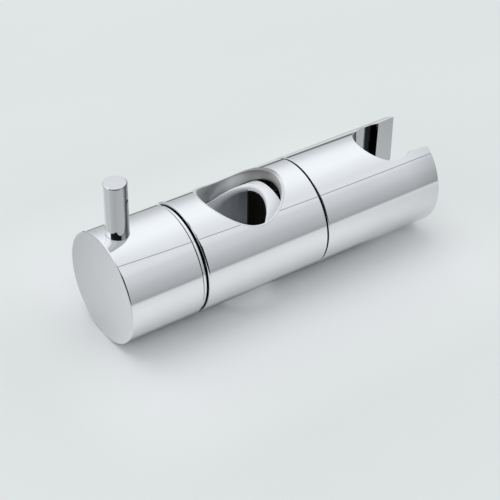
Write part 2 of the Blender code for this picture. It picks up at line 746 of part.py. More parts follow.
def build_holder(axis, chrome):
    """Holder barrel, with the tapered socket and the flared slot cut from above to below."""
    insert_hole = INSERT_DIAMETER / 2 + CLEARANCE
    outline = [(insert_floor, 0.0), (insert_floor, insert_hole), (holder_floor, insert_hole)]
    outline += [
        (holder_floor, spigot_radius + CLEARANCE),
        (holder_start + ring_recess, spigot_radius + CLEARANCE),
        (holder_start + ring_recess, ring_recess_radius),
        (holder_start, ring_recess_radius),
    ]
    outline += rounded_corner(holder_start, barrel_radius, SEAM_ROUNDING, -1)
    outline += reversed(rounded_corner(holder_end, barrel_radius, END_ROUNDING, 1))
    outline += [(holder_end, 0.0)]
    holder = turned("handset_holder", outline, chrome, BARREL_SEGMENTS, axis)
    above = barrel_radius + CUT_PAST
    growth = CUT_PAST * math.tan(SOCKET_TAPER)
    deepest = barrel_radius * math.tan(SOCKET_TAPER)
    rings = [keyhole_ring(-above, deepest), keyhole_ring(0.0, deepest), keyhole_ring(above, -growth)]
    add_boolean(holder, skinned("socket_cutter", rings, None, axis))


def main():
    clear_scene()
    chrome = make_material("chrome", (0.80, 0.81, 0.82), 1.0, 0.06)
    white_plastic = make_material("white_plastic", (0.80, 0.82, 0.84), 0.0, 0.35)
    slip_plastic = make_material("slip_plastic", (0.86, 0.86, 0.84), 0.0, 0.4)
    hub_plastic = make_material("hub_plastic", (0.30, 0.31, 0.32), 0.0, 0.5)
    rubber = make_material("rubber", (0.012, 0.012, 0.012), 0.0, 0.6)
    brass = make_material("brass", (0.72, 0.55, 0.27), 1.0, 0.25)
    steel = make_material("steel", (0.58, 0.58, 0.58), 1.0, 0.3)

    knob_axis = make_empty("knob_axis")
    slide_axis = make_empty("slide_axis", (SLIDE_OFFSET, 0.0, 0.0))
    holder_axis = make_empty("holder_axis", (0.0, 0.0, 0.0), HOLDER_TILT)
    build_body(chrome)
    build_neck(chrome, slip_plastic, rubber)
    build_knob(knob_axis, chrome, hub_plastic, brass)
    build_slide(slide_axis, white_plastic, rubber, steel)
    build_pivot(holder_axis, slip_plastic, steel, brass, rubber)
    build_holder(holder_axis, chrome)


main()
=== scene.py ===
# %% [markdown]
# A shower rail slider: a short chromed barrel that clamps on an upright rail and holds a handset. The
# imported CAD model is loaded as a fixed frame. The pieces made below take their places from its nodes, so
# nothing is fitted by eye, and each of them rides on the body that the node belongs to.

import json
import math

import bmesh
import bpy
import numpy as np
from mathutils import Matrix, Vector


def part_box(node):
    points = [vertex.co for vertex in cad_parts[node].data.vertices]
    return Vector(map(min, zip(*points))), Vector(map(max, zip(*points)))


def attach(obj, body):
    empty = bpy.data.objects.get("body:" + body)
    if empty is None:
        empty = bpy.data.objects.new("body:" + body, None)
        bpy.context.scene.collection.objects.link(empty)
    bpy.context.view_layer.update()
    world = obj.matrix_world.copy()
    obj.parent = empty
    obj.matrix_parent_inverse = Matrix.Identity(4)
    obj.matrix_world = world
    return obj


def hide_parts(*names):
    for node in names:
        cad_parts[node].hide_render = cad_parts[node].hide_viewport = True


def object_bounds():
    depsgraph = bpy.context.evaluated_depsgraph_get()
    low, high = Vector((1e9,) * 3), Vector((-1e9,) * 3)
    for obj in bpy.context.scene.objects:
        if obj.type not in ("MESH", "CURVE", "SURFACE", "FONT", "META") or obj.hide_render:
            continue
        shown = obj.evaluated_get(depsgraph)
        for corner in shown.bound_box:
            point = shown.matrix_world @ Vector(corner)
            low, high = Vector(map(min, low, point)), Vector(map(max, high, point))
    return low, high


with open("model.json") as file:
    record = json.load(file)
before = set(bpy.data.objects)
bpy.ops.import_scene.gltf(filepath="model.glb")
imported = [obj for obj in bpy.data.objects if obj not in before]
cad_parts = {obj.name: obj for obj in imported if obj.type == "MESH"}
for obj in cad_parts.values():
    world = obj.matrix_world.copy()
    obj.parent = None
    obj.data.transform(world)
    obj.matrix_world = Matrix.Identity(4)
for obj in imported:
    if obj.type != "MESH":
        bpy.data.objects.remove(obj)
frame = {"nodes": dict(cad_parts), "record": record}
cad_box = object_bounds()

# %% [markdown]
# The camera looks down at the slider from the knob's side. A long lens keeps the barrel's far end almost as
# large as its near end, as in a shop's picture. Its direction is written as a turn and a dip, and its three
# axes are put in a matrix, which is plainer to check than Euler angles.

# %% Camera
def direction(turn, dip):
    """Unit vector: turn is measured from +Y towards +X, dip below the horizon, in degrees."""
    turn, dip = math.radians(turn), math.radians(dip)
    return Vector((math.sin(turn) * math.cos(dip), math.cos(turn) * math.cos(dip), -math.sin(dip)))


def add_object(name, data):
    item = bpy.data.objects.new(name, data)
    bpy.context.scene.collection.objects.link(item)
    return item


camera = add_object("camera", bpy.data.cameras.new("camera"))
camera.data.sensor_width = 36.0
camera.data.lens = 107.5
camera_place = (-0.2136, -0.3105, 0.2778)
camera_turn, camera_dip, camera_roll = 35.09, 37.01, -0.87
view_line = direction(camera_turn, camera_dip)
across_view = Vector((view_line.y, -view_line.x, 0.0)).normalized()
roll = Matrix.Rotation(math.radians(camera_roll), 3, view_line)
axes = Matrix((roll @ across_view, roll @ across_view.cross(view_line), -view_line)).transposed()
camera.matrix_world = Matrix.Translation(camera_place) @ axes.to_4x4()
bpy.context.scene.camera = camera
bpy.context.scene.view_settings.view_transform = "Standard"
print("camera", [round(v, 4) for v in camera.location])

# %% [markdown]
# The slider lies on a pale board. A soft lamp high up behind its left end throws the shadow forward and to
# the right, and the world fills the rest. Chrome shows nothing but its surroundings, so what it mirrors is
# the most important part of the light: the board ends in front and behind, where its edge slants back to
# the right, and past it lies the studio.

# %% Floor
def add_sheet(name, corners, height):
    mesh = bpy.data.meshes.new(name)
    mesh.from_pydata([(x, y, height) for x, y in corners], [], [tuple(range(len(corners)))])
    sheet = add_object(name, mesh)
    return sheet


def rectangle(left, right, front, back):
    return ((left, front), (right, front), (right, back), (left, back))


ground = cad_box[0].z
apart = 0.00005
board_front, board_back = -0.148, 0.15
board_edge = (
    (-1.2, board_front), (1.2, board_front), (1.2, 0.50),
    (0.416, 0.50), (0.025, board_back), (-1.2, board_back),
)
board = add_sheet("board", board_edge, ground)
studio_floor = add_sheet("studio_floor", rectangle(-6.0, 6.0, -6.0, 6.0), ground - apart)
studio_floor.visible_glossy = False
card = add_sheet("reflection_shade_card", rectangle(-0.5, 0.3, board_front, board_back), ground + apart)
card.visible_camera = False
card.visible_diffuse = False
card.visible_shadow = False
print("floor at", round(ground, 4))

# %% [markdown]
# Every finish is a small tree of shader nodes, and the same few steps come back in each: noise that sits on
# the piece, a value stretched to another range, two colours mixed, and a little relief. They could be laid
# out by hand in the shader editor. As functions they are written once, and each finish reads like a recipe.
# The noise takes Object coordinates, so its grain has a real size and no seams, and needs no UV map.

# %% Shader helpers
def new_finish(name, metallic=0.0):
    material = bpy.data.materials.new(name)
    material.use_nodes = True
    tree = material.node_tree
    shader = tree.nodes["Principled BSDF"]
    shader.inputs["Metallic"].default_value = metallic
    return material, tree, shader


def feed(tree, value, socket):
    """Give a socket a number, a colour, or what comes from another node."""
    if isinstance(value, tuple):
        socket.default_value = (*value, 1.0)
    elif isinstance(value, float):
        socket.default_value = value
    else:
        tree.links.new(value, socket)


def grain(tree, scale, detail=3.0, stretch=(1.0, 1.0, 1.0)):
    """Noise on the piece's own metres; stretch draws it out along an axis where it is small."""
    place = tree.nodes.new("ShaderNodeTexCoord")
    mapping = tree.nodes.new("ShaderNodeMapping")
    mapping.inputs["Scale"].default_value = stretch
    noise = tree.nodes.new("ShaderNodeTexNoise")
    noise.inputs["Scale"].default_value = scale
    noise.inputs["Detail"].default_value = detail
    tree.links.new(place.outputs["Object"], mapping.inputs["Vector"])
    tree.links.new(mapping.outputs["Vector"], noise.inputs["Vector"])
    return noise.outputs["Fac"]


def between(tree, source, low, high, start=0.3, end=0.7):
    """Stretch a value that runs from start to end, to run from low to high."""
    ramp = tree.nodes.new("ShaderNodeMapRange")
    ramp.inputs["From Min"].default_value = start
    ramp.inputs["From Max"].default_value = end
    ramp.inputs["To Min"].default_value = low
    ramp.inputs["To Max"].default_value = high
    tree.links.new(source, ramp.inputs["Value"])
    return ramp.outputs["Result"]


def fade(tree, source, start, end):
    """0 where the source is at start and 1 where it is at end."""
    return between(tree, source, 0.0, 1.0, start, end)


def shades(tree, share, first, second, blend="MIX"):
    """Blend two colours, by the share that the second one has."""
    mix = tree.nodes.new("ShaderNodeMix")
    mix.data_type = "RGBA"
    mix.blend_type = blend
    for title, value in (("Factor", share), ("A", first), ("B", second)):
        feed(tree, value, mix.inputs[title])
    return mix.outputs["Result"]


def combine(tree, operation, first, second):
    """Math on two values; the second may be a plain number."""
    math_node = tree.nodes.new("ShaderNodeMath")
    math_node.operation = operation
    feed(tree, first, math_node.inputs[0])
    feed(tree, second, math_node.inputs[1])
    return math_node.outputs["Value"]


def product(tree, first, *others):
    for other in others:
        first = combine(tree, "MULTIPLY", first, other)
    return first


def away_from(tree, source, spot=0.0):
    """How far a value is from a spot, which is a number or comes from another node."""
    return combine(tree, "ABSOLUTE", combine(tree, "SUBTRACT", source, spot), 0.0)


def place_parts(tree, kind="Object"):
    """Sockets X, Y and Z: a point on the piece in metres, or with Generated a direction in the world."""
    place = tree.nodes.new("ShaderNodeTexCoord")
    parts = tree.nodes.new("ShaderNodeSeparateXYZ")
    tree.links.new(place.outputs[kind], parts.inputs["Vector"])
    return parts.outputs


def colour_stops(tree, source, stops):
    """Colour ramp over a value from 0 to 1; stops are (position, colour)."""
    ramp = tree.nodes.new("ShaderNodeValToRGB")
    tree.links.new(source, ramp.inputs["Fac"])
    elements = ramp.color_ramp.elements
    for index, (position, colour) in enumerate(stops):
        stop = elements[index] if index < 2 else elements.new(position)
        stop.position = position
        stop.color = (*colour, 1.0)
    return ramp.outputs["Color"]


def relief(tree, shader, height, depth):
    """Raise the surface by a value; depth is in metres."""
    bump = tree.nodes.new("ShaderNodeBump")
    bump.inputs["Distance"].default_value = depth
    tree.links.new(height, bump.inputs["Height"])
    tree.links.new(bump.outputs["Normal"], shader.inputs["Normal"])

# %% [markdown]
# The board is matt and nearly even, so it takes a soft shadow and shows no gloss. One flat colour would do,
# but no real board is the same all over, so a faint, wide noise shifts it a little. Round the barrel it is
# painted paler: painted light that softens the shadow there, where the photo's shadow is soft. A grey card
# lies on it that only the chrome sees, with painted shade in what the barrel mirrors: it darkens it at both
# ends and in front, and a dark strip underneath is a painted contact shadow. The floor that the camera sees
# stays as it is.

# %% Floor's finish
floor_finish, floor_tree, floor_shader = new_finish("pale_board")
floor_shade = between(floor_tree, grain(floor_tree, 6.0, 2.0, (1.0, 2.5, 1.0)), 0.0, 1.0)
board_tones = (0.742, 0.778, 0.773), (0.757, 0.793, 0.788)
floor_colour = shades(floor_tree, floor_shade, *board_tones)
floor_place = place_parts(floor_tree)
barrel_middle = (cad_box[0].x + cad_box[1].x) / 2
# The board is paler round the barrel: painted light that softens the shadow there.
beside = fade(floor_tree, away_from(floor_tree, floor_place["Y"]), 0.070, 0.034)
alongside = fade(floor_tree, away_from(floor_tree, floor_place["X"], barrel_middle), 0.090, 0.055)
painted_light_tone = (0.835, 0.843, 0.86)
floor_colour = shades(floor_tree, product(floor_tree, beside, alongside), floor_colour, painted_light_tone)
floor_tree.links.new(floor_colour, floor_shader.inputs["Base Color"])
for sheet in (board, studio_floor):
    sheet.data.materials.append(floor_finish)

card_finish, card_tree, card_shader = new_finish("reflection_shade_card")
card_place = place_parts(card_tree)
card_x, card_y = card_place["X"], card_place["Y"]


def card_tone(level):
    return (level, level * 1.01, level * 1.03)


far_tone = (0.75, 0.785, 0.78)
# The card is painted shade in the chrome's reflections: as pale as the board near the barrel, darker at both
# ends and in front.
card_colour = shades(card_tree, fade(card_tree, card_y, 0.03, 0.12), card_tone(0.825), far_tone)
left_fade = fade(card_tree, card_x, -0.040, -0.092)
right_fade = fade(card_tree, card_x, 0.044, 0.110)
shaded_ends = combine(card_tree, "MAXIMUM", left_fade, right_fade)
card_colour = shades(card_tree, shaded_ends, card_colour, card_tone(0.545))
for start, end, level in ((-0.045, -0.103, 0.70), (-0.103, board_front, 0.40)):
    card_colour = shades(card_tree, fade(card_tree, card_y, start, end), card_colour, card_tone(level))
# A dark strip under the barrel: a painted contact shadow in the mirrored floor.
painted_contact_shadow = product(
    card_tree,
    fade(card_tree, away_from(card_tree, card_y), 0.0150, 0.0085),
    fade(card_tree, card_x, 0.052, 0.040),
    fade(card_tree, card_x, -0.0495, -0.0465),
)
card_tree.links.new(shades(card_tree, painted_contact_shadow, card_colour, card_tone(0.30)), card_shader.inputs["Base Color"])
card.data.materials.append(card_finish)
for shader in (floor_shader, card_shader):
    shader.inputs["Roughness"].default_value = 0.9
    shader.inputs["Specular IOR Level"].default_value = 0.0

# %% [markdown]
# The studio is painted into the world as bands that run parallel to the barrel, by the angle round it: 0 is
# straight up, positive angles lie behind the slider and negative ones in front. A wide soft box hangs
# overhead, its front edge shows as a thin dark line, and the room darkens towards the horizon. Mirrored
# rays see the bands, camera rays see the backdrop, and all others get an even fill.

# %% Studio for the chrome
studio_bands = (
    (-180, 0.36), (-100, 0.37), (-90, 0.44), (-84, 0.47), (-78, 0.50), (-72, 0.54), (-66, 0.59), (-60, 0.63),
    (-54, 0.66), (-48, 0.69), (-44, 0.75), (-36, 0.80), (-24, 0.79), (-18, 0.82), (-6, 0.88), (0, 0.92),
    (6, 0.96), (18, 1.00), (32, 0.99), (44, 0.95), (54, 0.86), (60, 0.79), (66, 0.71), (72, 0.66),
    (78, 0.60), (88, 0.54), (104, 0.52), (180, 0.36),
)
world = bpy.data.worlds.new("studio")
world.use_nodes = True
bpy.context.scene.world = world
sky = world.node_tree
sky.nodes.clear()
sky_parts = place_parts(sky, "Generated")
toward_holder = sky_parts["X"]
round_angle = combine(sky, "ARCTAN2", sky_parts["Y"], sky_parts["Z"])
band_place = fade(sky, round_angle, -math.pi, math.pi)
studio_tint = (0.968, 0.997, 1.03)
band_colours = colour_stops(sky, band_place, [
    ((angle + 180) / 360, tuple(level * tint for tint in studio_tint)) for angle, level in studio_bands
])

# %% [markdown]
# The barrel in the photo mirrors the front edge of the soft box, a dark line behind it, and a dark corner
# of the room behind the camera. Boards could stand in the scene for them, but they would throw shadows and
# are slow to place. Painted on the world they cost nothing: each is a factor that falls off at an angle,
# and the factors are multiplied.

# %% Dark lines of the studio
def dark_line(middle, half_width, soft, darkness):
    """Factor that falls to darkness within half_width degrees of a line at an angle given by a node."""
    near, far = math.radians(half_width - soft), math.radians(half_width + soft)
    return between(sky, away_from(sky, round_angle, middle), darkness, 1.0, near, far)


short_of = fade(sky, toward_holder, 0.58, 0.38)
front_share = combine(sky, "POWER", short_of, 2.0)
front_edge = between(sky, front_share, math.radians(-40.0), math.radians(-22.3), 0.0, 1.0)
front_line = dark_line(front_edge, half_width=0.7, soft=0.35, darkness=0.35)
back_edge = between(sky, short_of, math.radians(82.0), math.radians(103.0), 0.0, 1.0)
back_line = dark_line(back_edge, half_width=4.5, soft=2.0, darkness=0.30)
backward = fade(sky, toward_holder, 0.22, 0.05)
camera_side = fade(sky, sky_parts["Y"], 0.05, -0.10)
low_down = fade(sky, sky_parts["Z"], 0.80, 0.68)
dark_corner = between(sky, product(sky, backward, camera_side, low_down), 1.0, 0.02, 0.0, 1.0)
far_end = between(sky, toward_holder, 0.0, 0.30, 0.560, 0.582)
in_front = between(sky, round_angle, 1.0, 0.65, math.radians(-43.0), math.radians(-40.0))
far_shade = between(sky, product(sky, far_end, in_front), 1.0, 0.0, 0.0, 1.0)
shaded = product(sky, front_line, back_line, dark_corner, far_shade)

# %% [markdown]
# The world gives three answers, by the kind of ray that asks. One background can't do that: the studio that
# the chrome needs would tint the floor, and the pale backdrop would wash out the mirror. The Light Path
# node tells the rays apart, and Mix Shader nodes choose between the answers.

# %% World
def background(colour, strength):
    shader = sky.nodes.new("ShaderNodeBackground")
    feed(sky, colour, shader.inputs["Color"])
    feed(sky, strength, shader.inputs["Strength"])
    return shader.outputs["Background"]


def choose(switch, off, on):
    mix = sky.nodes.new("ShaderNodeMixShader")
    sky.links.new(switch, mix.inputs["Fac"])
    sky.links.new(off, mix.inputs[1])
    sky.links.new(on, mix.inputs[2])
    return mix.outputs["Shader"]


ray = sky.nodes.new("ShaderNodeLightPath")
fill = background((0.98, 1.0, 1.0), 0.86)
mirrored_studio = background(band_colours, shaded)
backdrop = background((0.72, 0.76, 0.76), 1.0)
seen = choose(ray.outputs["Is Glossy Ray"], fill, mirrored_studio)
seen = choose(ray.outputs["Is Camera Ray"], seen, backdrop)
sky_out = sky.nodes.new("ShaderNodeOutputWorld")
sky.links.new(seen, sky_out.inputs["Surface"])

# %% [markdown]
# One soft lamp gives the shadow its direction. A sun would draw a hard edge. A disk almost two metres wide
# and two and a half metres off blurs the edge as in the photo. Mirrored rays don't see it, since its disk
# would show as a second spot on the chrome, where the studio is painted already.

# %% Lamp
lamp = add_object("soft_lamp", bpy.data.lights.new("soft_lamp", "AREA"))
lamp.data.shape = "DISK"
lamp.data.size = 1.9
lamp.data.energy = 11.0
lamp.location = (-0.55, 0.60, 2.45)
lamp_target = Vector((0.01, 0.0, 0.0))
lamp.rotation_euler = (lamp_target - lamp.location).to_track_quat("-Z", "Y").to_euler()
lamp.visible_glossy = False
lamp.visible_camera = False
print("lamp", round(lamp.location.length, 3), "m away")

# %% [markdown]
# Nearly every part of a slider is turned on a lathe, so most pieces start as an outline of places along the
# axis and radii. A sharp corner would catch no light, and a Bevel modifier would bend the flat faces'
# shading, so the roundings are in the outline itself. A faceted mirror betrays itself at once: each corner
# of each face gets the normal of the true round surface, worked out from the outline.

# %% Outlines with rounded corners
ARC_STEPS = 8


def soften(corners, steps=ARC_STEPS):
    """Turn corners (along, radius, rounding) into outline points and the list of true surfaces."""
    outline, surfaces = [], []
    count = len(corners)
    for index, (along, radius, rounding) in enumerate(corners):
        here = np.array((along, radius))
        following = np.array(corners[(index + 1) % count][:2])
        surfaces.append(("line", here, following))
        if not rounding:
            outline.append((along, radius))
            continue
        back = np.array(corners[index - 1][:2]) - here
        onward = following - here
        back /= np.linalg.norm(back)
        onward /= np.linalg.norm(onward)
        half = math.acos(np.clip(back @ onward, -1, 1)) / 2
        middle = (back + onward) / np.linalg.norm(back + onward)
        centre = here + middle * rounding / math.sin(half)
        surfaces.append(("arc", centre, rounding, -middle, math.pi / 2 - half))
        first = math.atan2(*(here + back * rounding / math.tan(half) - centre)[::-1])
        sweep = math.atan2(*(here + onward * rounding / math.tan(half) - centre)[::-1]) - first
        sweep = (sweep + math.pi) % (2 * math.pi) - math.pi
        for step in range(steps + 1):
            angle = first + sweep * step / steps
            outline.append(tuple(centre + rounding * np.array((math.cos(angle), math.sin(angle)))))
    return outline, surfaces

# %% [markdown]
# Lathe work is one outline spun round an axis. The Screw modifier does that too, but leaves doubled points
# at the poles. Here the rings are laid directly: a ring of points for each point of the outline, quads
# between neighbouring rings, and a fan of triangles where the outline meets the axis.

# %% Turned meshes
ROUND_STEPS = 192


def add_turned(bm, outline, closed=True, steps=ROUND_STEPS):
    """Spin an outline of (along, radius) round X; a point on the axis becomes one pole."""
    rings = []
    for along, radius in outline:
        if radius < 1e-9:
            rings.append([bm.verts.new((along, 0.0, 0.0))] * steps)
            continue
        turn = [2 * math.pi * step / steps for step in range(steps)]
        rings.append([bm.verts.new((along, radius * math.sin(a), radius * math.cos(a))) for a in turn])
    pairs = list(zip(rings, rings[1:]))
    if closed:
        pairs.append((rings[-1], rings[0]))
    for lower, upper in pairs:
        for step in range(steps):
            after = (step + 1) % steps
            loop = (lower[step], lower[after], upper[after], upper[step])
            corners = list(dict.fromkeys(loop))
            if len(corners) > 2:
                bm.faces.new(corners)


def finish_mesh(name, bm):
    bmesh.ops.remove_doubles(bm, verts=bm.verts, dist=1e-7)
    bmesh.ops.recalc_face_normals(bm, faces=bm.faces)
    mesh = bpy.data.meshes.new(name)
    bm.to_mesh(mesh)
    bm.free()
    return add_object(name, mesh)


def turned(name, outline, steps=ROUND_STEPS):
    bm = bmesh.new()
    add_turned(bm, outline, True, steps)
    return finish_mesh(name, bm)

# %% [markdown]
# A cut leaves long, uneven faces, and smooth shading shows each of them on a mirror. So for every corner of
# every face the matching surface of the outline is found, a line or an arc, and its exact normal is stored
# as a custom normal. A Weighted Normal modifier would only guess it from the size of the faces. The same
# pass writes down how far round an arc each corner lies, as an attribute for the wear on edges.

# %% True normals
NEAR = 0.00002
SAME_WAY = 0.55
# 1 - cos(45 degrees): divided by it, the wear is 1 in the middle of a rounding.
MID_ROUNDING = 0.293


def smooth(mesh, sharp_angle=40.0):
    mesh.shade_smooth()
    mesh.set_sharp_from_angle(angle=math.radians(sharp_angle))


def read(items, title, width=1, kind=np.float32):
    """One value of every item of a mesh; a wide one comes as rows."""
    values = np.empty(len(items) * width, kind)
    items.foreach_get(title, values)
    return values.reshape(-1, width).astype(float) if width > 1 else values


def match_surface(kind, flat):
    """Which points (along, radius) lie on a surface of the outline, and its normal there."""
    if kind[0] == "line":
        start, end = kind[1], kind[2]
        length = np.linalg.norm(end - start)
        if length < NEAR:
            return np.zeros(len(flat), bool), np.zeros_like(flat)
        along = (end - start) / length
        normal = np.array((along[1], -along[0]))
        offset = flat - start
        reach = offset @ along
        on = (np.abs(offset @ normal) < NEAR) & (reach > -NEAR) & (reach < length + NEAR)
        return on, np.broadcast_to(normal, flat.shape)
    _, centre, rounding, middle, half = kind
    offset = flat - centre
    distance = np.maximum(np.linalg.norm(offset, axis=1), 1e-9)
    normal = offset / distance[:, None]
    on = (np.abs(distance - rounding) < NEAR / 2) & (normal @ middle > math.cos(half) - 0.02)
    return on, normal


def true_normals(item, surfaces, bore=None):
    """Give each face corner the normal of the turned surface, or of an upright bore (x, radius, taper)."""
    mesh = item.data
    smooth(mesh, 35.0)
    corner = read(mesh.loops, "vertex_index", kind=np.int32)
    spot = read(mesh.vertices, "co", 3)[corner]
    sizes = read(mesh.polygons, "loop_total", kind=np.int32)
    facing = np.repeat(read(mesh.polygons, "normal", 3), sizes, axis=0)
    radius = np.hypot(spot[:, 1], spot[:, 2])
    outward = np.zeros_like(spot)
    outward[:, 1:] = spot[:, 1:] / np.maximum(radius, 1e-9)[:, None]
    flat = np.stack([spot[:, 0], radius], 1)
    normals = np.zeros_like(spot)
    best = np.full(len(spot), SAME_WAY)
    wear = np.zeros(len(spot), np.float32)
    for kind in surfaces:
        on, normal = match_surface(kind, flat)
        solid = outward * normal[:, 1:2]
        solid[:, 0] = normal[:, 0]
        agree = np.sum(solid * facing, axis=1)
        better = on & (np.abs(agree) > best)
        best[better] = np.abs(agree[better])
        normals[better] = (solid * np.sign(agree)[:, None])[better]
        if kind[0] == "arc":
            wear[better] = ((1 - np.abs(normal).max(axis=1)) / MID_ROUNDING)[better]
    if bore:
        bore_x, bore_size, widening = bore
        offset = spot[:, :2] - np.array((bore_x, 0.0))
        distance = np.maximum(np.linalg.norm(offset, axis=1), 1e-9)
        wall = bore_size + np.maximum(spot[:, 2], 0.0) * widening
        solid = np.zeros_like(spot)
        solid[:, :2] = offset / distance[:, None]
        solid[:, 2] = np.where(facing[:, 2] * facing[:, 2] > 1e-4, -widening, 0.0)
        solid /= np.linalg.norm(solid, axis=1)[:, None]
        agree = np.sum(solid * facing, axis=1)
        better = (np.abs(distance - wall) < NEAR) & (np.abs(agree) > np.maximum(best, 0.9))
        best[better] = 1.0
        normals[better] = (solid * np.sign(agree)[:, None])[better]
    mesh.normals_split_custom_set(normals.tolist())
    rubbed = mesh.attributes.new("edge_wear", "FLOAT", "CORNER")
    rubbed.data.foreach_set("value", wear)
    print(item.name, len(mesh.polygons), "faces,", int((best > SAME_WAY).sum()), "true corners")

# %% [markdown]
# Finishes. Bright chrome is a mirror with a faint cloudiness, and the plate rubs a little duller along the
# edges, where the wear attribute of the true surfaces says. Where the bore is cut, the plate hardly reaches
# and stays satin. The slide is moulded in white acetal, the pad and ring are black rubber, and the hidden
# metal parts are turned brass and zinc-plated steel.

# %% Chrome finishes
def clouded(tree, shader, source, colour, share):
    """Base colour that drifts between a darker share of a colour and the colour itself."""
    darker = tuple(channel * share for channel in colour)
    tree.links.new(shades(tree, between(tree, source, 0.0, 1.0), darker, colour), shader.inputs["Base Color"])


def chrome_finish(name, colour, smooth, dull):
    material, tree, shader = new_finish(name, 1.0)
    cloud = grain(tree, 140.0, 2.0)
    fine = grain(tree, 1600.0, 2.0)
    clouded(tree, shader, cloud, colour, 0.985)
    rubbed = tree.nodes.new("ShaderNodeAttribute")
    rubbed.attribute_name = "edge_wear"
    patchy = combine(tree, "MULTIPLY", rubbed.outputs["Fac"], between(tree, fine, 0.0, 0.03))
    rough = combine(tree, "ADD", between(tree, cloud, smooth, dull), patchy)
    tree.links.new(rough, shader.inputs["Roughness"])
    relief(tree, shader, fine, 0.00000015)
    return material


plate = (0.92, 0.93, 0.94)
chrome = chrome_finish("bright_chrome", plate, 0.012, 0.024)
flat_chrome = chrome_finish("flat_chrome", (0.80, 0.81, 0.82), 0.03, 0.05)
pin_chrome = chrome_finish("pin_chrome", plate, 0.02, 0.035)

# %% [markdown]
# The rail rubs the bore and the plate is thin there, so the wall is satin. Its colour is darkened towards
# the holder as painted shade. That could be painted on a UV map. A colour ramp along the barrel does the
# same with a few stops, given in millimetres, and leans a little to one side, as the photo shows it. The
# pin's plate gets a painted reflection in the same way, lighter on the left and darker on the right, with
# the dark streak that the photo has on its right side, and the knob's face gets one too, darker on one side.

# %% Painted shade and reflections on the chrome of bore, pin and knob face
def paint_shading_along(material, stops, lean):
    """Paint light and shade into a finish's colour along X plus a share of Y: stops are (place in mm,
    factor).
    """
    tree = material.node_tree
    shader = tree.nodes["Principled BSDF"]
    colour = shader.inputs["Base Color"].links[0].from_socket
    place = place_parts(tree)
    leaning = combine(tree, "ADD", place["X"], combine(tree, "MULTIPLY", place["Y"], lean))
    first, last = stops[0][0], stops[-1][0]
    along = fade(tree, leaning, first * 0.001, last * 0.001)
    levels = [((spot - first) / (last - first), (factor,) * 3) for spot, factor in stops]
    painted_shading = colour_stops(tree, along, levels)
    tree.links.new(shades(tree, 1.0, colour, painted_shading, "MULTIPLY"), shader.inputs["Base Color"])


bore_satin = chrome_finish("satin_bore", (0.95, 0.96, 0.95), 0.40, 0.50)
bore_stops = (
    (-14.6, 1.0), (0.0, 1.0), (5.6, 0.82), (9.0, 0.80),
    (11.3, 0.92), (12.8, 0.75), (14.2, 0.44), (15.0, 0.40),
)
paint_shading_along(bore_satin, bore_stops, 0.5)
pin_stops = (
    (-47.6, 1.0), (-45.1, 1.0), (-44.4, 0.84), (-43.5, 0.76), (-42.6, 0.64), (-41.4, 0.58),
    (-40.2, 0.60), (-39.7, 0.30), (-39.3, 0.14), (-38.9, 0.30), (-38.4, 0.42),
)
paint_shading_along(pin_chrome, pin_stops, -0.7)
face_chrome = chrome_finish("face_chrome", (0.98, 0.985, 0.99), 0.03, 0.05)
face_stops = ((-66.0, 1.0), (-49.5, 0.83), (-33.0, 0.67))
paint_shading_along(face_chrome, face_stops, 1.0)

# %% [markdown]
# Little light reaches the middle of a deep socket, so the chrome there is painted nearly black as shade,
# and less dark at its rims and in the slot. Two finishes with a border would show a line. One finish that
# blends by height and by place along the barrel doesn't.

# %% Painted shade inside the socket
def shaded_chrome(name, deep_shade, full):
    """Chrome painted darker as shade: nearly black at mid height and before the throat, less dark near the
    rims and in the slot.
    """
    material, tree, shader = new_finish(name, 1.0)
    place = place_parts(tree)
    in_slot = fade(tree, place["X"], 0.0592, 0.0597)
    before_throat = fade(tree, place["X"], 0.0556, 0.0548)
    near_rims = fade(tree, away_from(tree, place["Z"]), 0.0030, 0.0065)
    # Share of the less dark colour; the painted shade is deepest where it is 0.
    plated = combine(tree, "MAXIMUM", product(tree, near_rims, before_throat), in_slot)
    tree.links.new(shades(tree, plated, deep_shade, full), shader.inputs["Base Color"])
    cloud = grain(tree, 300.0, 2.0)
    tree.links.new(between(tree, cloud, 0.015, 0.025), shader.inputs["Roughness"])
    return material


recess_chrome = shaded_chrome("recess_chrome", (0.035, 0.038, 0.045), (0.68, 0.69, 0.70))

# %% [markdown]
# The other pieces share two recipes. Mouldings have a slow drift of colour, as plastic has from its flow,
# and a fine grain. Machined metal has small spots and fine tool lines, which are noise drawn out across the
# axis. With one function for each kind, the pieces differ only in colour, roughness and depth.

# %% Plastic, rubber, brass and steel finishes
def moulded_finish(name, colour, rough, depth, scale=900.0, shine=0.5):
    material, tree, shader = new_finish(name)
    shader.inputs["Specular IOR Level"].default_value = shine
    flow = grain(tree, 60.0, 3.0, (1.0, 0.5, 0.5))
    fine = grain(tree, scale, 3.0)
    clouded(tree, shader, flow, colour, 0.95)
    tree.links.new(between(tree, fine, rough - 0.06, rough + 0.06), shader.inputs["Roughness"])
    relief(tree, shader, fine, depth)
    return material


def machined_finish(name, colour, rough, depth, stretch):
    material, tree, shader = new_finish(name, 1.0)
    lines = grain(tree, 2200.0, 2.0, stretch)
    spots = grain(tree, 350.0, 3.0)
    clouded(tree, shader, spots, colour, 0.82)
    tree.links.new(between(tree, lines, rough - 0.07, rough + 0.09), shader.inputs["Roughness"])
    relief(tree, shader, lines, depth)
    return material


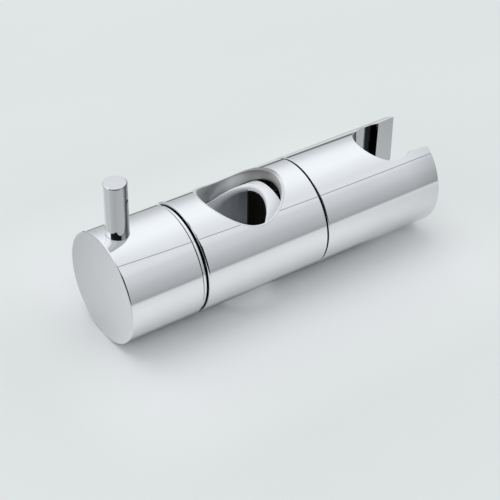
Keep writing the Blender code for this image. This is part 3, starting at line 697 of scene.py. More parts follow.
acetal = (0.90, 0.91, 0.95)
white_plastic = moulded_finish("white_acetal", acetal, 0.36, 0.000002)
slip_plastic = moulded_finish("slip_acetal", (0.86, 0.86, 0.84), 0.40, 0.000002)
hub_plastic = moulded_finish("hub_moulding", (0.30, 0.31, 0.32), 0.50, 0.000004)
rubber = moulded_finish("black_rubber", (0.005, 0.0045, 0.003), 0.60, 0.000006, scale=1400.0, shine=0.06)
brass = machined_finish("turned_brass", (0.72, 0.55, 0.27), 0.26, 0.000001, (1.0, 0.06, 0.06))
steel = machined_finish("zinc_plated_steel", (0.58, 0.58, 0.60), 0.30, 0.000001, (0.4, 0.4, 0.4))
# Nearly black metal for the gaps beside the neck bush's flange: painted shade.
gap_shade = machined_finish("painted_gap_shade", (0.05, 0.05, 0.055), 0.60, 0.000001, (0.4, 0.4, 0.4))

# %% [markdown]
# The wall of the slide's hole is painted grey as shade, darker towards the holder, and the rounded rim stays
# white. A painted mask could say where. Here the distance from the barrel's axis tells rim from wall, the
# place along the barrel sets the grey, and upright streaks break it up.

# %% Hole wall of the slide
def shaded_wall_finish(name, left, right, start, end):
    """Moulding with painted shade on the hole's wall; the grey deepens from start to end and leaves the
    rounded rim white.
    """
    material, tree, shader = new_finish(name)
    place = place_parts(tree)
    streaks = grain(tree, 500.0, 3.0, (1.0, 1.0, 0.2))
    drift = combine(tree, "ADD", place["X"], between(tree, streaks, -0.0008, 0.0008))
    drift = combine(tree, "ADD", drift, product(tree, away_from(tree, place["Z"]), 0.35))
    across = combine(tree, "POWER", place["Y"], 2.0)
    height = combine(tree, "POWER", place["Z"], 2.0)
    from_axis = combine(tree, "SQRT", combine(tree, "ADD", across, height), 0.0)
    grey = shades(tree, fade(tree, drift, start, end), left, right)
    colour = shades(tree, fade(tree, from_axis, 0.0130, 0.0117), acetal, grey)
    tree.links.new(colour, shader.inputs["Base Color"])
    tree.links.new(between(tree, streaks, 0.42, 0.56), shader.inputs["Roughness"])
    relief(tree, shader, streaks, 0.000002)
    return material


shaded_hole_wall = shaded_wall_finish("shaded_acetal", (0.58, 0.60, 0.63), (0.09, 0.10, 0.12), -0.0025, 0.0098)

# %% [markdown]
# The imported model names a material slot for each node. A table turns the slot into a finish, so the pieces
# that stay as CAD made them are dressed in one loop. The helper does the same for a new piece, hides the
# node that it stands for, and hangs the piece on the body that carries it.

# %% CAD nodes get their finishes
finish_of_slot = {
    "chrome": chrome,
    "white_plastic": white_plastic,
    "slip_plastic": slip_plastic,
    "hub_plastic": hub_plastic,
    "black_rubber": rubber,
    "brass": brass,
    "steel": steel,
}
slot_of = {part["node"]: part["material_slot"] for part in frame["record"]["subparts"]}
body_of = {node: body for body, nodes in frame["record"]["behaviour"]["bodies"].items() for node in nodes}
for node_name, item in frame["nodes"].items():
    item.data.materials.clear()
    item.data.materials.append(finish_of_slot[slot_of[node_name]])


def dress(item, node_name, *finishes):
    """Let a finished piece stand for a CAD node: give it its finishes, by default the one of the node's slot,
    hide the node and hang the piece on the node's body.
    """
    item.data.materials.clear()
    for finish in finishes or (finish_of_slot[slot_of[node_name]],):
        item.data.materials.append(finish)
    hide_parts(node_name)
    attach(item, body_of[node_name])

# %% [markdown]
# The frame gives a box for every node, so the main sizes are read from it and fit by themselves. Only what
# a box can't say, such as the radius of an edge, is typed in, in millimetres.

# %% Sizes of the barrel
MM = 0.001
barrel_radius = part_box("slider_body")[1].z
knob_low, knob_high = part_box("lever_knob")
body_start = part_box("slider_body")[0].x
spigot_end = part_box("slider_body")[1].x
holder_start, holder_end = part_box("handset_holder")[0].x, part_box("handset_holder")[1].x
body_end = holder_start - 0.6 * MM
end_rounding, seam_rounding, mouth_rounding = 0.5 * MM, 0.3 * MM, 0.7 * MM
print("barrel", round(barrel_radius, 4), "knob", round(knob_low.x, 4), "to", round(knob_high.x, 4))

# %% [markdown]
# Holes that cross a turned shape are cut by exact booleans. They could stay as modifiers, but the normals
# have to be set on the final faces. So each result is turned into a plain mesh at once, and its tools are
# removed.

# %% Cutting
def baked(item):
    """Replace an object by the plain mesh of what its modifiers make."""
    graph = bpy.context.evaluated_depsgraph_get()
    mesh = bpy.data.meshes.new_from_object(item.evaluated_get(graph))
    item.modifiers.clear()
    item.data = mesh
    mesh.name = item.name


def cut(item, *tools):
    for tool in tools:
        modifier = item.modifiers.new("cut", "BOOLEAN")
        modifier.operation = "DIFFERENCE"
        modifier.solver = "EXACT"
        modifier.object = tool
        tool.hide_render = True
    bpy.context.view_layer.update()
    baked(item)
    for tool in tools:
        bpy.data.objects.remove(tool)


def stand_up(item, x):
    """Turn a piece made round X to stand round the upright at x."""
    item.data.transform(Matrix.Translation((x, 0.0, 0.0)) @ Matrix.Rotation(-math.pi / 2, 4, "Y"))


def choose_faces(item, wanted):
    """Give the second finish to the faces that a test of centre and normal wants."""
    flags = [int(wanted(face.center, face.normal)) for face in item.data.polygons]
    item.data.polygons.foreach_set("material_index", flags)
    print(item.name, sum(flags), "faces in the second finish")

# %% [markdown]
# The knob is a chromed cap. Its outer face is flat with a crisp rounded edge, and the lever pin is screwed
# in from above. The hole for the pin is cut by a boolean, which a chain of quads could not follow so
# simply; the true normals hide the cut's uneven faces.

# %% Knob
pin_low, pin_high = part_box("lever_pin")
pin_radius = (pin_high.x - pin_low.x) / 2
pin_x = (pin_high.x + pin_low.x) / 2
knob_wall, knob_face = 2.7 * MM, 2.5 * MM
knob_bore_radius = barrel_radius - knob_wall
knob_floor = knob_low.x + knob_face
knob_outline, knob_surfaces = soften([
    (knob_low.x, 0.0, 0.0),
    (knob_low.x, barrel_radius, end_rounding),
    (knob_high.x, barrel_radius, seam_rounding),
    (knob_high.x, knob_bore_radius, 0.0),
    (knob_floor, knob_bore_radius, 0.0),
    (knob_floor, 0.0, 0.0),
])
knob = turned("knob_cap", knob_outline)
pin_gap = 0.06 * MM
pin_seat = barrel_radius - 1.5 * MM
hole_floor, hole_top = barrel_radius - 3.4 * MM, barrel_radius + 2 * MM
foot_radius, foot_hole_radius = 2.5 * MM, 2.8 * MM
pin_hole = turned("pin_hole", [
    (hole_floor, 0.0),
    (hole_floor, foot_hole_radius),
    (pin_seat, foot_hole_radius),
    (pin_seat, pin_radius + pin_gap),
    (hole_top, pin_radius + pin_gap),
    (hole_top, 0.0),
], 96)
stand_up(pin_hole, pin_x)
cut(knob, pin_hole)
true_normals(knob, knob_surfaces)
dress(knob, "lever_knob", chrome, face_chrome)
choose_faces(knob, lambda centre, normal: normal.x < -0.99)

# %% [markdown]
# The pin is the lever that a hand turns the knob by: a plain chromed bar with a small rounding at its flat
# end. A cylinder with a bevel comes close. A turned outline gives exact normals as well, and a thinner foot
# that sits in the knob's hole.

# %% Lever pin
pin_outline, pin_surfaces = soften([
    (pin_low.z, 0.0, 0.0),
    (pin_low.z, foot_radius, 0.0),
    (pin_seat + 0.3 * MM, foot_radius, 0.0),
    (pin_seat + 0.3 * MM, pin_radius, 0.0),
    (pin_high.z, pin_radius, 0.4 * MM),
    (pin_high.z, 0.0, 0.0),
])
pin = turned("pin_lever", pin_outline, 96)
true_normals(pin, pin_surfaces)
stand_up(pin, pin_x)
dress(pin, "lever_pin", pin_chrome, flat_chrome)
choose_faces(pin, lambda centre, normal: normal.z > 0.99)

# %% [markdown]
# Between the knob and the body lies the neck bush. Only the bright edge of its flange shows, with a black
# gap on either side. Its plug closes the body's mouth, and the knob turns on its long journal.

# %% Neck bush
bush_low, bush_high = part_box("neck_bush")
flange_radius = bush_high.z
flange_end = body_start - 0.6 * MM
flange_start = flange_end - 1.1 * MM
journal_radius = knob_bore_radius - 0.3 * MM
neck_bore_radius = 9.802 * MM
slide_radius = 14.0 * MM
groove_middle = (bush_low.x + flange_start) / 2
groove_start, groove_end = groove_middle - 1.3 * MM, groove_middle + 1.3 * MM
groove_radius = journal_radius - 2.3 * MM
neck_outline, neck_surfaces = soften([
    (bush_high.x, neck_bore_radius, 0.3 * MM),
    (bush_high.x, slide_radius, 0.3 * MM),
    (flange_end, slide_radius, 0.0),
    (flange_end, flange_radius, 0.25 * MM),
    (flange_start, flange_radius, 0.25 * MM),
    (flange_start, journal_radius, 0.0),
    (groove_end, journal_radius, 0.1 * MM),
    (groove_end, groove_radius, 0.1 * MM),
    (groove_start, groove_radius, 0.1 * MM),
    (groove_start, journal_radius, 0.1 * MM),
    (bush_low.x, journal_radius, 0.2 * MM),
    (bush_low.x, neck_bore_radius, 0.2 * MM),
], 5)
neck = turned("neck_flange_bush", neck_outline)
true_normals(neck, neck_surfaces)
dress(neck, "neck_bush", chrome, gap_shade)


# The faces in the gaps beside the flange, and those hidden inside, take the nearly black finish: painted
# shade in the gaps.
def in_neck_gap(centre, normal):
    radius = math.hypot(centre.y, centre.z)
    return radius < flange_radius - 0.12 * MM or centre.x < flange_start + 0.2 * MM


choose_faces(neck, in_neck_gap)

# %% [markdown]
# The upright bore crosses the barrel, and its rim is rounded. That rim is the hardest form here: it has to
# leave the bore's wall and land on the barrel's surface smoothly, all the way round a saddle. It is laid in
# loops round the hole. Each loop follows the hole, and the last ones run out to the edges of the half
# barrel, so a boolean isn't needed and no face is a sliver.

# %% Bored bars
ALONG_STEPS = 40
RIM_STEPS = 10
OUT_STEPS = 10
HOLE_STEPS = ROUND_STEPS + 2 * ALONG_STEPS


def edge_place(x0, x1, index):
    """Place (x, angle from the top) of one point on the outline of a half barrel, laid out flat."""
    corners = ((x1, -1.0), (x1, 1.0), (x0, 1.0), (x0, -1.0), (x1, -1.0))
    left = index
    for side in range(4):
        steps = ROUND_STEPS // 2 if side % 2 == 0 else ALONG_STEPS
        if left <= steps:
            share = left / steps
            (xa, ta), (xb, tb) = corners[side], corners[side + 1]
            return xa + (xb - xa) * share, math.pi / 2 * (ta + (tb - ta) * share)
        left -= steps


def rim_landing(bar, hole, rounding, across):
    """Height of the hole's edge in a direction, and how far out its rounding lands on the bar."""
    edge_height = math.sqrt(bar**2 - (hole * across) ** 2)
    slope = hole * across**2 / edge_height
    return edge_height, hole + rounding / math.sqrt(1 + slope**2)


def rim(bar, hole, rounding):
    """Loops from the hole's wall out to the bar's surface."""
    loops = []
    steps = RIM_STEPS if rounding else 0
    for step in range(steps + 1):
        share = step / steps if steps else 0.0
        weights = ((1 - share) ** 2, 2 * share * (1 - share), share**2)
        loop = []
        for index in range(HOLE_STEPS):
            angle = 2 * math.pi * (index - ROUND_STEPS / 4) / HOLE_STEPS
            across = math.sin(angle)
            edge_height, landing = rim_landing(bar, hole, rounding, across)
            landing_height = math.sqrt(bar**2 - (landing * across) ** 2)
            reach = hole * (weights[0] + weights[1]) + landing * weights[2]
            height = weights[0] * (edge_height - rounding) + weights[1] * edge_height
            loop.append((reach * math.cos(angle), reach * across, height + weights[2] * landing_height))
        loops.append(loop)
    return loops


def run_out(rim_loop, x0, x1, radius):
    """Loops on the bar's surface, from the rim out to the edge of the half barrel."""
    loops = []
    for step in range(1, OUT_STEPS + 1):
        share = (step / OUT_STEPS) ** 1.3
        loop = []
        for index, (rim_x, rim_y, _) in enumerate(rim_loop):
            edge_x, edge_angle = edge_place(x0, x1, index)
            angle = math.asin(rim_y / radius) * (1 - share) + edge_angle * share
            x = rim_x + (edge_x - rim_x) * share
            loop.append((x, radius * math.sin(angle), radius * math.cos(angle)))
        loops.append(loop)
    return loops


def join(bm, loops, side=1):
    made = [[bm.verts.new((x, y, side * z)) for x, y, z in loop] for loop in loops]
    for lower, upper in zip(made, made[1:]):
        for index in range(len(lower)):
            after = (index + 1) % len(lower)
            bm.faces.new((lower[index], lower[after], upper[after], upper[index]))


def bored_bar(x0, x1, bar, hole, rounding, chamber=None):
    """Side of a bar along X with an upright hole at x = 0; chamber is (start, end, radius)."""
    bm = bmesh.new()
    rim_loops = rim(bar, hole, rounding)
    for side in (1, -1):
        join(bm, rim_loops + run_out(rim_loops[-1], x0, x1, bar), side)
        if chamber:
            inner_rim = rim(chamber[2], hole, 0.0)
            join(bm, [rim_loops[0]] + inner_rim + run_out(inner_rim[0], *chamber), side)
    if not chamber:
        wall = rim_loops[0]
        join(bm, [wall] + [[(x, y, z * share) for x, y, z in wall] for share in (0.5, 0.0, -0.5, -1.0)])
    return bm

# %% [markdown]
# The body is the chromed barrel, with the rail's bore, a chamber for the slide and a spigot for the holder.
# Cylinders and booleans would leave slivers along the rim. So the side with its bore comes from the loops
# above, both ends are turned, and they are joined where their rings meet.

# %% Body
bore_radius = 13.0 * MM
rim_rounding = 1.1 * MM
chamber_radius = 14.3 * MM
chamber_end = 16.4 * MM
ring_radius = 15.9 * MM
ring_recess = 0.9 * MM
spigot_radius = 11.0 * MM
stud_hole_radius, nut_room_radius = 4.6 * MM, 8.8 * MM
cup_floor = 24.2 * MM
bm = bored_bar(
    body_start + mouth_rounding, body_end - seam_rounding, barrel_radius, bore_radius, rim_rounding,
    (body_start, chamber_end, chamber_radius),
)
mouth_outline, mouth_surfaces = soften([
    (0.0, barrel_radius, 0.0),
    (body_start, barrel_radius, mouth_rounding),
    (body_start, chamber_radius, 0.0),
])
end_outline, end_surfaces = soften([
    (0.0, barrel_radius, 0.0),
    (body_end, barrel_radius, seam_rounding),
    (body_end, ring_radius, 0.0),
    (body_end - ring_recess, ring_radius, 0.0),
    (body_end - ring_recess, spigot_radius, 0.0),
    (spigot_end, spigot_radius, 0.3 * MM),
    (spigot_end, stud_hole_radius, 0.0),
    (cup_floor, stud_hole_radius, 0.0),
    (cup_floor, nut_room_radius, 0.0),
    (chamber_end, nut_room_radius, 0.3 * MM),
    (chamber_end, chamber_radius, 0.0),
])
add_turned(bm, mouth_outline[1:], False)
add_turned(bm, end_outline[1:], False)
body = finish_mesh("body_barrel", bm)
true_normals(body, mouth_surfaces[:-1] + end_surfaces[:-1], (0.0, bore_radius, 0.0))
dress(body, "slider_body", chrome, bore_satin)


def in_bore(centre, normal):
    distance = math.hypot(centre.x, centre.y)
    return distance < rim_landing(barrel_radius, bore_radius, rim_rounding, centre.y / distance)[1]


choose_faces(body, in_bore)

# %% [markdown]
# The slide sits in the chamber. It is a white moulding with a cross hole of its own, which stands off the
# bore towards the knob until the knob draws it. A pad of black rubber is let into the hole on the far side,
# and the screw's hexagon head is caught in a pocket on the near side.

# %% Clamp slide
slide_offset = -4.8 * MM
slide_hole = 12.5 * MM
slide_back, slide_front = -14.5 * MM, 16.1 * MM
slide_edge, slide_rim = 0.5 * MM, 1.4 * MM
boss_start, boss_radius = -22.7 * MM, 9.502 * MM
bm = bored_bar(slide_back + slide_edge, slide_front - slide_edge, slide_radius, slide_hole, slide_rim)
front_outline, front_surfaces = soften([
    (0.0, slide_radius, 0.0),
    (slide_front, slide_radius, slide_edge),
    (slide_front, 0.0, 0.0),
])
boss_outline, boss_surfaces = soften([
    (0.0, slide_radius, 0.0),
    (slide_back, slide_radius, slide_edge),
    (slide_back, boss_radius, 0.4 * MM),
    (boss_start, boss_radius, slide_edge),
    (boss_start, 0.0, 0.0),
])
add_turned(bm, front_outline[1:], False)
add_turned(bm, boss_outline[1:], False)
slide = finish_mesh("slide_moulding", bm)


def prism(name, rings):
    """Closed skin over rings of equally many points, with a cap at either end."""
    bm = bmesh.new()
    join(bm, rings)
    bm.verts.ensure_lookup_table()
    count = len(rings[0])
    bm.faces.new(bm.verts[:count])
    bm.faces.new(bm.verts[-count:])
    return finish_mesh(name, bm)


def hexagon(x, flats):
    corner = flats / 2 / math.cos(math.pi / 6)
    turn = [math.pi / 3 * step for step in range(6)]
    return [(x, corner * math.sin(a), corner * math.cos(a)) for a in turn]


def pad_rings(inner, outer, angles, top, steps=40):
    """Curved block on the +X side of the upright axis, its ends cut to a round surface."""
    rings = []
    for step in range(steps + 1):
        angle = math.radians(angles[0] + (angles[1] - angles[0]) * step / steps)
        ring = []
        for radius, side in ((inner, 1), (outer, 1), (outer, -1), (inner, -1)):
            y = radius * math.sin(angle)
            ring.append((radius * math.cos(angle), y, side * math.sqrt(top**2 - y**2)))
        rings.append(ring)
    return rings

# %% [markdown]
# The pockets have straight walls and sharp edges, so here booleans serve well: a hexagon for the screw's
# head, a round hole for its shank, and a curved one for the pad. Afterwards the faces on the hole's wall
# are told from the rest by their distance from its axis, and take the finish with painted shade.

# %% Pockets of the slide
head_seat, head_front = slide_back - 5.6 * MM, -6 * MM
head_room, shank_room = 13.6 * MM, 4.3 * MM
head_pocket = prism("head_pocket", [hexagon(x, head_room) for x in (head_seat, head_front)])
hole_ends = (-24 * MM, -19.5 * MM)
screw_hole = turned("screw_hole", [
    (hole_ends[0], 0.0),
    (hole_ends[0], shank_room),
    (hole_ends[1], shank_room),
    (hole_ends[1], 0.0),
], 64)
pocket_front, pocket_back, pocket_top = 6 * MM, 14.2 * MM, 12.2 * MM
pocket_angles = (-42.4, 23.4)
pad_pocket = prism("pad_pocket", pad_rings(pocket_front, pocket_back, pocket_angles, pocket_top))
cut(slide, head_pocket, screw_hole, pad_pocket)
true_normals(slide, front_surfaces[:-1] + boss_surfaces[:-1], (0.0, slide_hole, 0.0))
slide.data.transform(Matrix.Translation((slide_offset, 0.0, 0.0)))
dress(slide, "clamp_slide", white_plastic, shaded_hole_wall)
wall_gap = (-42.0, 23.0)


def in_slide_hole(centre, normal):
    offset = centre.x - slide_offset
    beside_pad = not wall_gap[0] < math.degrees(math.atan2(centre.y, offset)) < wall_gap[1]
    on_wall = abs(math.hypot(offset, centre.y) - slide_hole) < 1.5 * MM and abs(centre.z) < slide_radius
    return on_wall and beside_pad


choose_faces(slide, in_slide_hole)

# %% [markdown]
# The pad is a curved block of black rubber that bites on the rail. It could be cut from a tube. Laid in
# steps round the hole's axis, with its ends following the slide, it comes out as plain quads. A Bevel
# modifier softens its edges, because rubber mirrors nothing that the bevel could bend.

# %% Grip pad
pad_back, pad_top = 13.9 * MM, 11.9 * MM
pad_angles = (-41.0, 22.0)
pad = prism("pad_rubber", pad_rings(slide_hole, pad_back, pad_angles, pad_top))
soft_edge = pad.modifiers.new("soft_edge", "BEVEL")
soft_edge.width = 0.25 * MM
soft_edge.segments = 3
bpy.context.view_layer.update()
baked(pad)
smooth(pad.data)
pad.data.transform(Matrix.Translation((slide_offset, 0.0, 0.0)))
dress(pad, "grip_pad")

# %% [markdown]
# The holder turns on the body's spigot. A tapered socket takes the handset's cone, and a slot in the end
# lets the hose in. The socket is cut by one tool: a keyhole plan, drawn in rings from below to above. Near
# the barrel's surface the rings follow its curve and flare a little, which breaks the edge all round.

# %% Socket tool
socket_x = holder_end - 12.0 * MM
socket_radius = 9.8 * MM
shoulder = 1.4 * MM
flare = math.tan(math.radians(6.0))
taper = math.tan(math.radians(6.5))
edge_break = 0.2 * MM
SOCKET_STEPS = 120
WALL_STEPS = 8
LIP_STEPS = 8
LIP_ROUNDS, HEIGHT_ROUNDS = 6, 5
lip = 0.3 * MM


def keyhole(shrink):
    """Plan of socket and slot, drawn in on all sides by shrink."""
    radius = socket_radius - shrink
    throat = radius - shoulder
    opening = math.asin(throat / radius)
    throat_x = socket_x + radius * math.cos(opening)
    round_x, round_y = throat_x, 0.0
    for _ in range(LIP_ROUNDS):
        round_y = throat + (round_x - throat_x) * flare + lip
        round_x = socket_x + math.sqrt((radius + lip) ** 2 - round_y**2)
    opening = math.atan2(round_y, round_x - socket_x)
    mouth_x = holder_end - 0.15 * MM
    wall = []
    for step in range(1, LIP_STEPS + 1):
        turn = opening + math.pi + (math.pi / 2 - opening) * step / LIP_STEPS
        wall.append((round_x + lip * math.cos(turn), round_y + lip * math.sin(turn)))
    for step in range(1, WALL_STEPS + 1):
        x = round_x + (mouth_x - round_x) * step / WALL_STEPS
        wall.append((x, throat + (x - throat_x) * flare))
    beyond = holder_end + 2 * MM
    wall.append((beyond, wall[-1][1] + beyond - mouth_x))
    plan = []
    for step in range(SOCKET_STEPS + 1):
        angle = opening + (2 * math.pi - 2 * opening) * step / SOCKET_STEPS
        plan.append((socket_x + radius * math.cos(angle), radius * math.sin(angle)))
    return plan + [(x, -y) for x, y in wall] + wall[::-1]


def surface_height(y):
    return math.sqrt(max(barrel_radius**2 - y**2, 0.0))


def shrink_at(height):
    return (barrel_radius - max(height, 0.0)) * taper


def ring_near_surface(side, drop, push):
    """Ring that follows the barrel's surface, drop below it and pushed outwards."""
    count = len(keyhole(0.0))
    ring = []
    for index in range(count):
        height = barrel_radius
        for _ in range(HEIGHT_ROUNDS):
            shrink = shrink_at(side * height)
            height = surface_height(keyhole(shrink)[index][1])
        height -= drop
        x, y = keyhole(shrink_at(side * height) - push)[index]
        ring.append((x, y, side * height))
    return ring

# %% [markdown]
# The holder is a turned bar, and the keyhole tool takes socket and slot out of it in one cut. A cut for
# each would leave a seam at the throat. In the end the piece is turned by six degrees, as it stands in the
# photo.

# %% Handset holder
support = 0.05 * MM
beyond_surface = 0.12 * MM
above = barrel_radius + 2 * MM
outer_push = edge_break + beyond_surface
tool_rings = []
for side in (-1, 1):
    top_ring = ring_near_surface(side, -beyond_surface, outer_push)
    rings = [
        [(x, y, side * above) for x, y, _ in top_ring],
        top_ring,
        ring_near_surface(side, edge_break, 0.0),
        ring_near_surface(side, edge_break + support, 0.0),
    ]
    tool_rings += rings if side < 0 else [[(x, y, 0.0) for x, y in keyhole(shrink_at(0.0))]] + rings[::-1]
socket_tool = prism("socket_tool", tool_rings)
insert_end, insert_radius = 37.6 * MM, 5.8 * MM
spigot_room_end, spigot_room_radius = 27.0 * MM, 11.3 * MM
holder_outline, holder_surfaces = soften([
    (insert_end, 0.0, 0.0),
    (insert_end, insert_radius, 0.0),
    (spigot_room_end, insert_radius, 0.0),
    (spigot_room_end, spigot_room_radius, 0.0),
    (holder_start + ring_recess, spigot_room_radius, 0.0),
    (holder_start + ring_recess, ring_radius, 0.0),
    (holder_start, ring_radius, 0.0),
    (holder_start, barrel_radius, seam_rounding),
    (holder_end, barrel_radius, end_rounding),
    (holder_end, 0.0, 0.0),
])
holder = turned("holder_barrel", holder_outline)
cut(holder, socket_tool)
true_normals(holder, holder_surfaces, (socket_x, socket_radius - barrel_radius * taper, taper))
holder_tilt = math.radians(6.0)
holder.data.transform(Matrix.Rotation(holder_tilt, 4, "X"))
dress(holder, "handset_holder", chrome, recess_chrome)


def in_socket(centre, normal):
    inside = math.hypot(centre.y, centre.z) < barrel_radius - 0.15 * MM and abs(normal.x) < 0.999
    return inside and holder_start + 6 * MM < centre.x < holder_end - 0.1 * MM


choose_faces(holder, in_socket)

# %% [markdown]
# The black seam between body and holder is a rubber ring. A ring is a section swept round a circle, which
# is a rule, so Geometry Nodes make it: one tree with named sizes gives the friction ring and the O-ring
# alike.

# %% Swept ring tree
def add_tree(name, inputs):
    """Empty tree, its inputs' keys and its input sockets; an input is given by its number or its kind."""
    tree = bpy.data.node_groups.new(name, "GeometryNodeTree")
    tree.interface.new_socket("Geometry", in_out="OUTPUT", socket_type="NodeSocketGeometry")
    keys = {}
    for title, value in inputs.items():
        kind = value if isinstance(value, str) else "Float"
        socket = tree.interface.new_socket(title, in_out="INPUT", socket_type="NodeSocket" + kind)
        if kind == "Float":
            socket.default_value = value
        keys[title] = socket.identifier
    return tree, keys, tree.nodes.new("NodeGroupInput").outputs


def add_node(tree, kind, links=None, **values):
    """Node with its links (socket name or number to source) and settings or input values."""
    made = tree.nodes.new(kind)
    for title, value in values.items():
        if hasattr(made, title):
            setattr(made, title, value)
        else:
            made.inputs[title.replace("_", " ")].default_value = value
    for title, source in (links or {}).items():
        tree.links.new(source, made.inputs[title])
    return made


def end_tree(tree, mesh, place, finish, core=None):
    """Stand a mesh round X at a place, join it to a core, make it real and give it the finish."""
    spot = add_node(tree, "ShaderNodeCombineXYZ", {"X": place}).outputs["Vector"]
    links = {"Geometry": mesh.outputs["Mesh"], "Translation": spot}
    shape = add_node(tree, "GeometryNodeTransform", links, Rotation=(0.0, math.pi / 2, 0.0))
    if core:
        both = add_node(tree, "GeometryNodeJoinGeometry", {"Geometry": core})
        tree.links.new(shape.outputs["Geometry"], both.inputs["Geometry"])
        shape = both
    plain = add_node(tree, "GeometryNodeRealizeInstances", {"Geometry": shape.outputs["Geometry"]})
    links = {"Geometry": plain.outputs["Geometry"], "Material": finish}
    coated = add_node(tree, "GeometryNodeSetMaterial", links)
    add_node(tree, "NodeGroupOutput", {"Geometry": coated.outputs["Geometry"]})


ring_tree, ring_keys, given = add_tree("swept_ring", {
    "Place": 0.0,
    "Radius": 0.01,
    "Width": 0.002,
    "Depth": 0.002,
    "Edge": 0.0002,
    "Finish": "Material",
})
path = add_node(ring_tree, "GeometryNodeCurvePrimitiveCircle", {"Radius": given["Radius"]}, Resolution=160)
section_sizes = {"Width": given["Depth"], "Height": given["Width"]}
section = add_node(ring_tree, "GeometryNodeCurvePrimitiveQuadrilateral", section_sizes)
edge_links = {"Curve": section.outputs["Curve"], "Radius": given["Edge"]}
edge = add_node(ring_tree, "GeometryNodeFilletCurve", edge_links, mode="POLY", Count=4)
sweep_links = {"Curve": path.outputs["Curve"], "Profile Curve": edge.outputs["Curve"]}
swept = add_node(ring_tree, "GeometryNodeCurveToMesh", sweep_links)
end_tree(ring_tree, swept, given["Place"], given["Finish"])

# %% [markdown]
# The tree gets the sizes of each ring by name, and its result is made a plain mesh, so that nothing hangs
# on a modifier later. The friction ring is flat with small roundings. The O-ring is round, because its edge
# is nearly half its depth.

# %% Rings
def grown(name, tree, keys, values, core=None):
    """Plain mesh of what a Geometry Nodes tree makes from named values, and from a core if one is given."""
    item = core or add_object(name, bpy.data.meshes.new(name))
    modifier = item.modifiers.new(name, "NODES")
    modifier.node_group = tree
    for title, value in values.items():
        modifier[keys[title]] = value
    bpy.context.view_layer.update()
    baked(item)
    bm = bmesh.new()
    bm.from_mesh(item.data)
    bmesh.ops.remove_doubles(bm, verts=bm.verts, dist=1e-7)
    bmesh.ops.recalc_face_normals(bm, faces=bm.faces)
    bm.to_mesh(item.data)
    bm.free()
    smooth(item.data)
    print(name, len(item.data.polygons), "faces")
    return item


for ring_name, node_name, depth, ring_edge in (
    ("seam_ring", "friction_ring", 4.0 * MM, 0.25 * MM),
    ("journal_ring", "neck_o_ring", 2.0 * MM, 0.95 * MM),
):
    low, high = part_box(node_name)
    ring = grown(ring_name, ring_tree, ring_keys, {
        "Place": (low.x + high.x) / 2,
        "Radius": high.z - depth / 2,
        "Width": high.x - low.x,
        "Depth": depth,
        "Edge": ring_edge,
        "Finish": rubber,
    })
    dress(ring, node_name)

# %% [markdown]
# Two threaded pieces are hidden inside: the clamp screw that draws the slide, and the stud that the holder
# turns on. A thread is a ridge along a helix, so a second tree sweeps a small section along a spiral and
# joins it to a turned core. The pitches are those of common M8 and M6 threads.

# %% Thread tree
thread_tree, thread_keys, given = add_tree("threaded_rod", {
    "Core": "Geometry",
    "Start": 0.0,
    "Length": 0.01,
    "Pitch": 0.00125,
    "Crest": 0.004,
    "Ridge": 0.0005,
    "Finish": "Material",
})
turn_links = {0: given["Length"], 1: given["Pitch"]}
turns = add_node(thread_tree, "ShaderNodeMath", turn_links, operation="DIVIDE")
radius_links = {0: given["Crest"], 1: given["Ridge"]}
middle_radius = add_node(thread_tree, "ShaderNodeMath", radius_links, operation="SUBTRACT")
spiral = add_node(thread_tree, "GeometryNodeCurveSpiral", {
    "Rotations": turns.outputs["Value"],
    "Start Radius": middle_radius.outputs["Value"],
    "End Radius": middle_radius.outputs["Value"],
    "Height": given["Length"],
}, Resolution=28)
ridge = add_node(thread_tree, "GeometryNodeCurvePrimitiveCircle", {"Radius": given["Ridge"]}, Resolution=4)
helix_links = {"Curve": spiral.outputs["Curve"], "Profile Curve": ridge.outputs["Curve"]}
helix = add_node(thread_tree, "GeometryNodeCurveToMesh", helix_links, Fill_Caps=True)
end_tree(thread_tree, helix, given["Start"], given["Finish"], given["Core"])

# %% [markdown]
# The clamp screw has a hexagon head and an M8 thread. Its shank is turned down to the thread's core, the
# head is a short prism with broken edges, and the tree lays the ridge round the shank. A bump in the finish
# would be cheaper, but the mesh itself would stay smooth.

# %% Clamp screw
def joined(name, *items):
    """One object from several closed pieces."""
    bm = bmesh.new()
    for item in items:
        bm.from_mesh(item.data)
        bpy.data.objects.remove(item)
    return finish_mesh(name, bm)


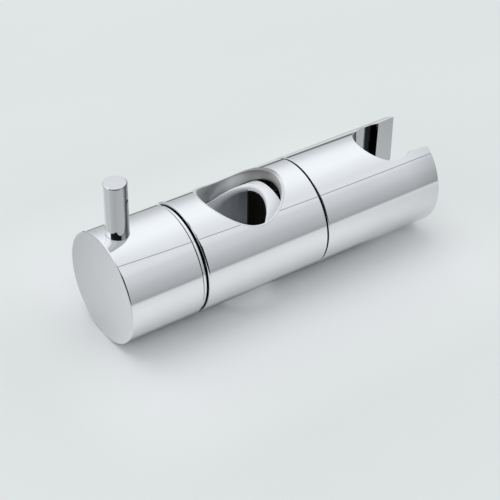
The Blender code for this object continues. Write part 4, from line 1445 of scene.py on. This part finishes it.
screw_low, screw_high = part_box("clamp_screw")
clip_low, clip_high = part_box("stop_clip")
screw_radius, screw_core = 4.0 * MM, 3.35 * MM
tip_radius, clip_groove = 3.7 * MM, 3.2 * MM
head_flats, broken_flats = 13.0 * MM, 12.4 * MM
head_start = screw_high.x - 5.3 * MM
thread_end = screw_low.x + 17 * MM
shank_outline, _ = soften([
    (screw_low.x, 0.0, 0.0),
    (screw_low.x, tip_radius, 0.5 * MM),
    (clip_low.x, tip_radius, 0.0),
    (clip_low.x, clip_groove, 0.0),
    (clip_high.x, clip_groove, 0.0),
    (clip_high.x, screw_core, 0.0),
    (thread_end, screw_core, 0.0),
    (thread_end + 0.7 * MM, screw_radius, 0.2 * MM),
    (head_start + 1 * MM, screw_radius, 0.0),
    (head_start + 1 * MM, 0.0, 0.0),
], 4)
shank = turned("shank", shank_outline, 64)
head = prism("head", [
    hexagon(head_start, broken_flats),
    hexagon(head_start + 0.4 * MM, head_flats),
    hexagon(screw_high.x - 0.4 * MM, head_flats),
    hexagon(screw_high.x, broken_flats),
])
screw = grown("hex_clamp_screw", thread_tree, thread_keys, {
    "Start": clip_high.x + 0.4 * MM,
    "Length": thread_end - clip_high.x,
    "Pitch": 1.25 * MM,
    "Crest": screw_radius - 0.03 * MM,
    "Ridge": 0.5 * MM,
    "Finish": steel,
}, joined("hex_clamp_screw", shank, head))
dress(screw, "clamp_screw")

# %% [markdown]
# The stud ties the holder to the body, and is threaded from end to end. It comes from the same tree with
# other sizes, which is what the named inputs are for.

# %% Pivot stud
stud_low, stud_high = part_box("pivot_stud")
stud_core, plain_end = 2.5 * MM, 0.6 * MM
stud_outline, _ = soften([
    (stud_low.x, 0.0, 0.0),
    (stud_low.x, stud_core, 0.3 * MM),
    (stud_high.x, stud_core, 0.3 * MM),
    (stud_high.x, 0.0, 0.0),
], 4)
stud = grown("threaded_stud", thread_tree, thread_keys, {
    "Start": stud_low.x + plain_end,
    "Length": stud_high.x - stud_low.x - 2 * plain_end,
    "Pitch": 1.0 * MM,
    "Crest": stud_high.z,
    "Ridge": 0.4 * MM,
    "Finish": steel,
}, turned("threaded_stud", stud_outline, 64))
dress(stud, "pivot_stud")

# %% [markdown]
# Last, the CAD's box is printed.

print("CAD box", [[round(v, 5) for v in corner] for corner in cad_box])
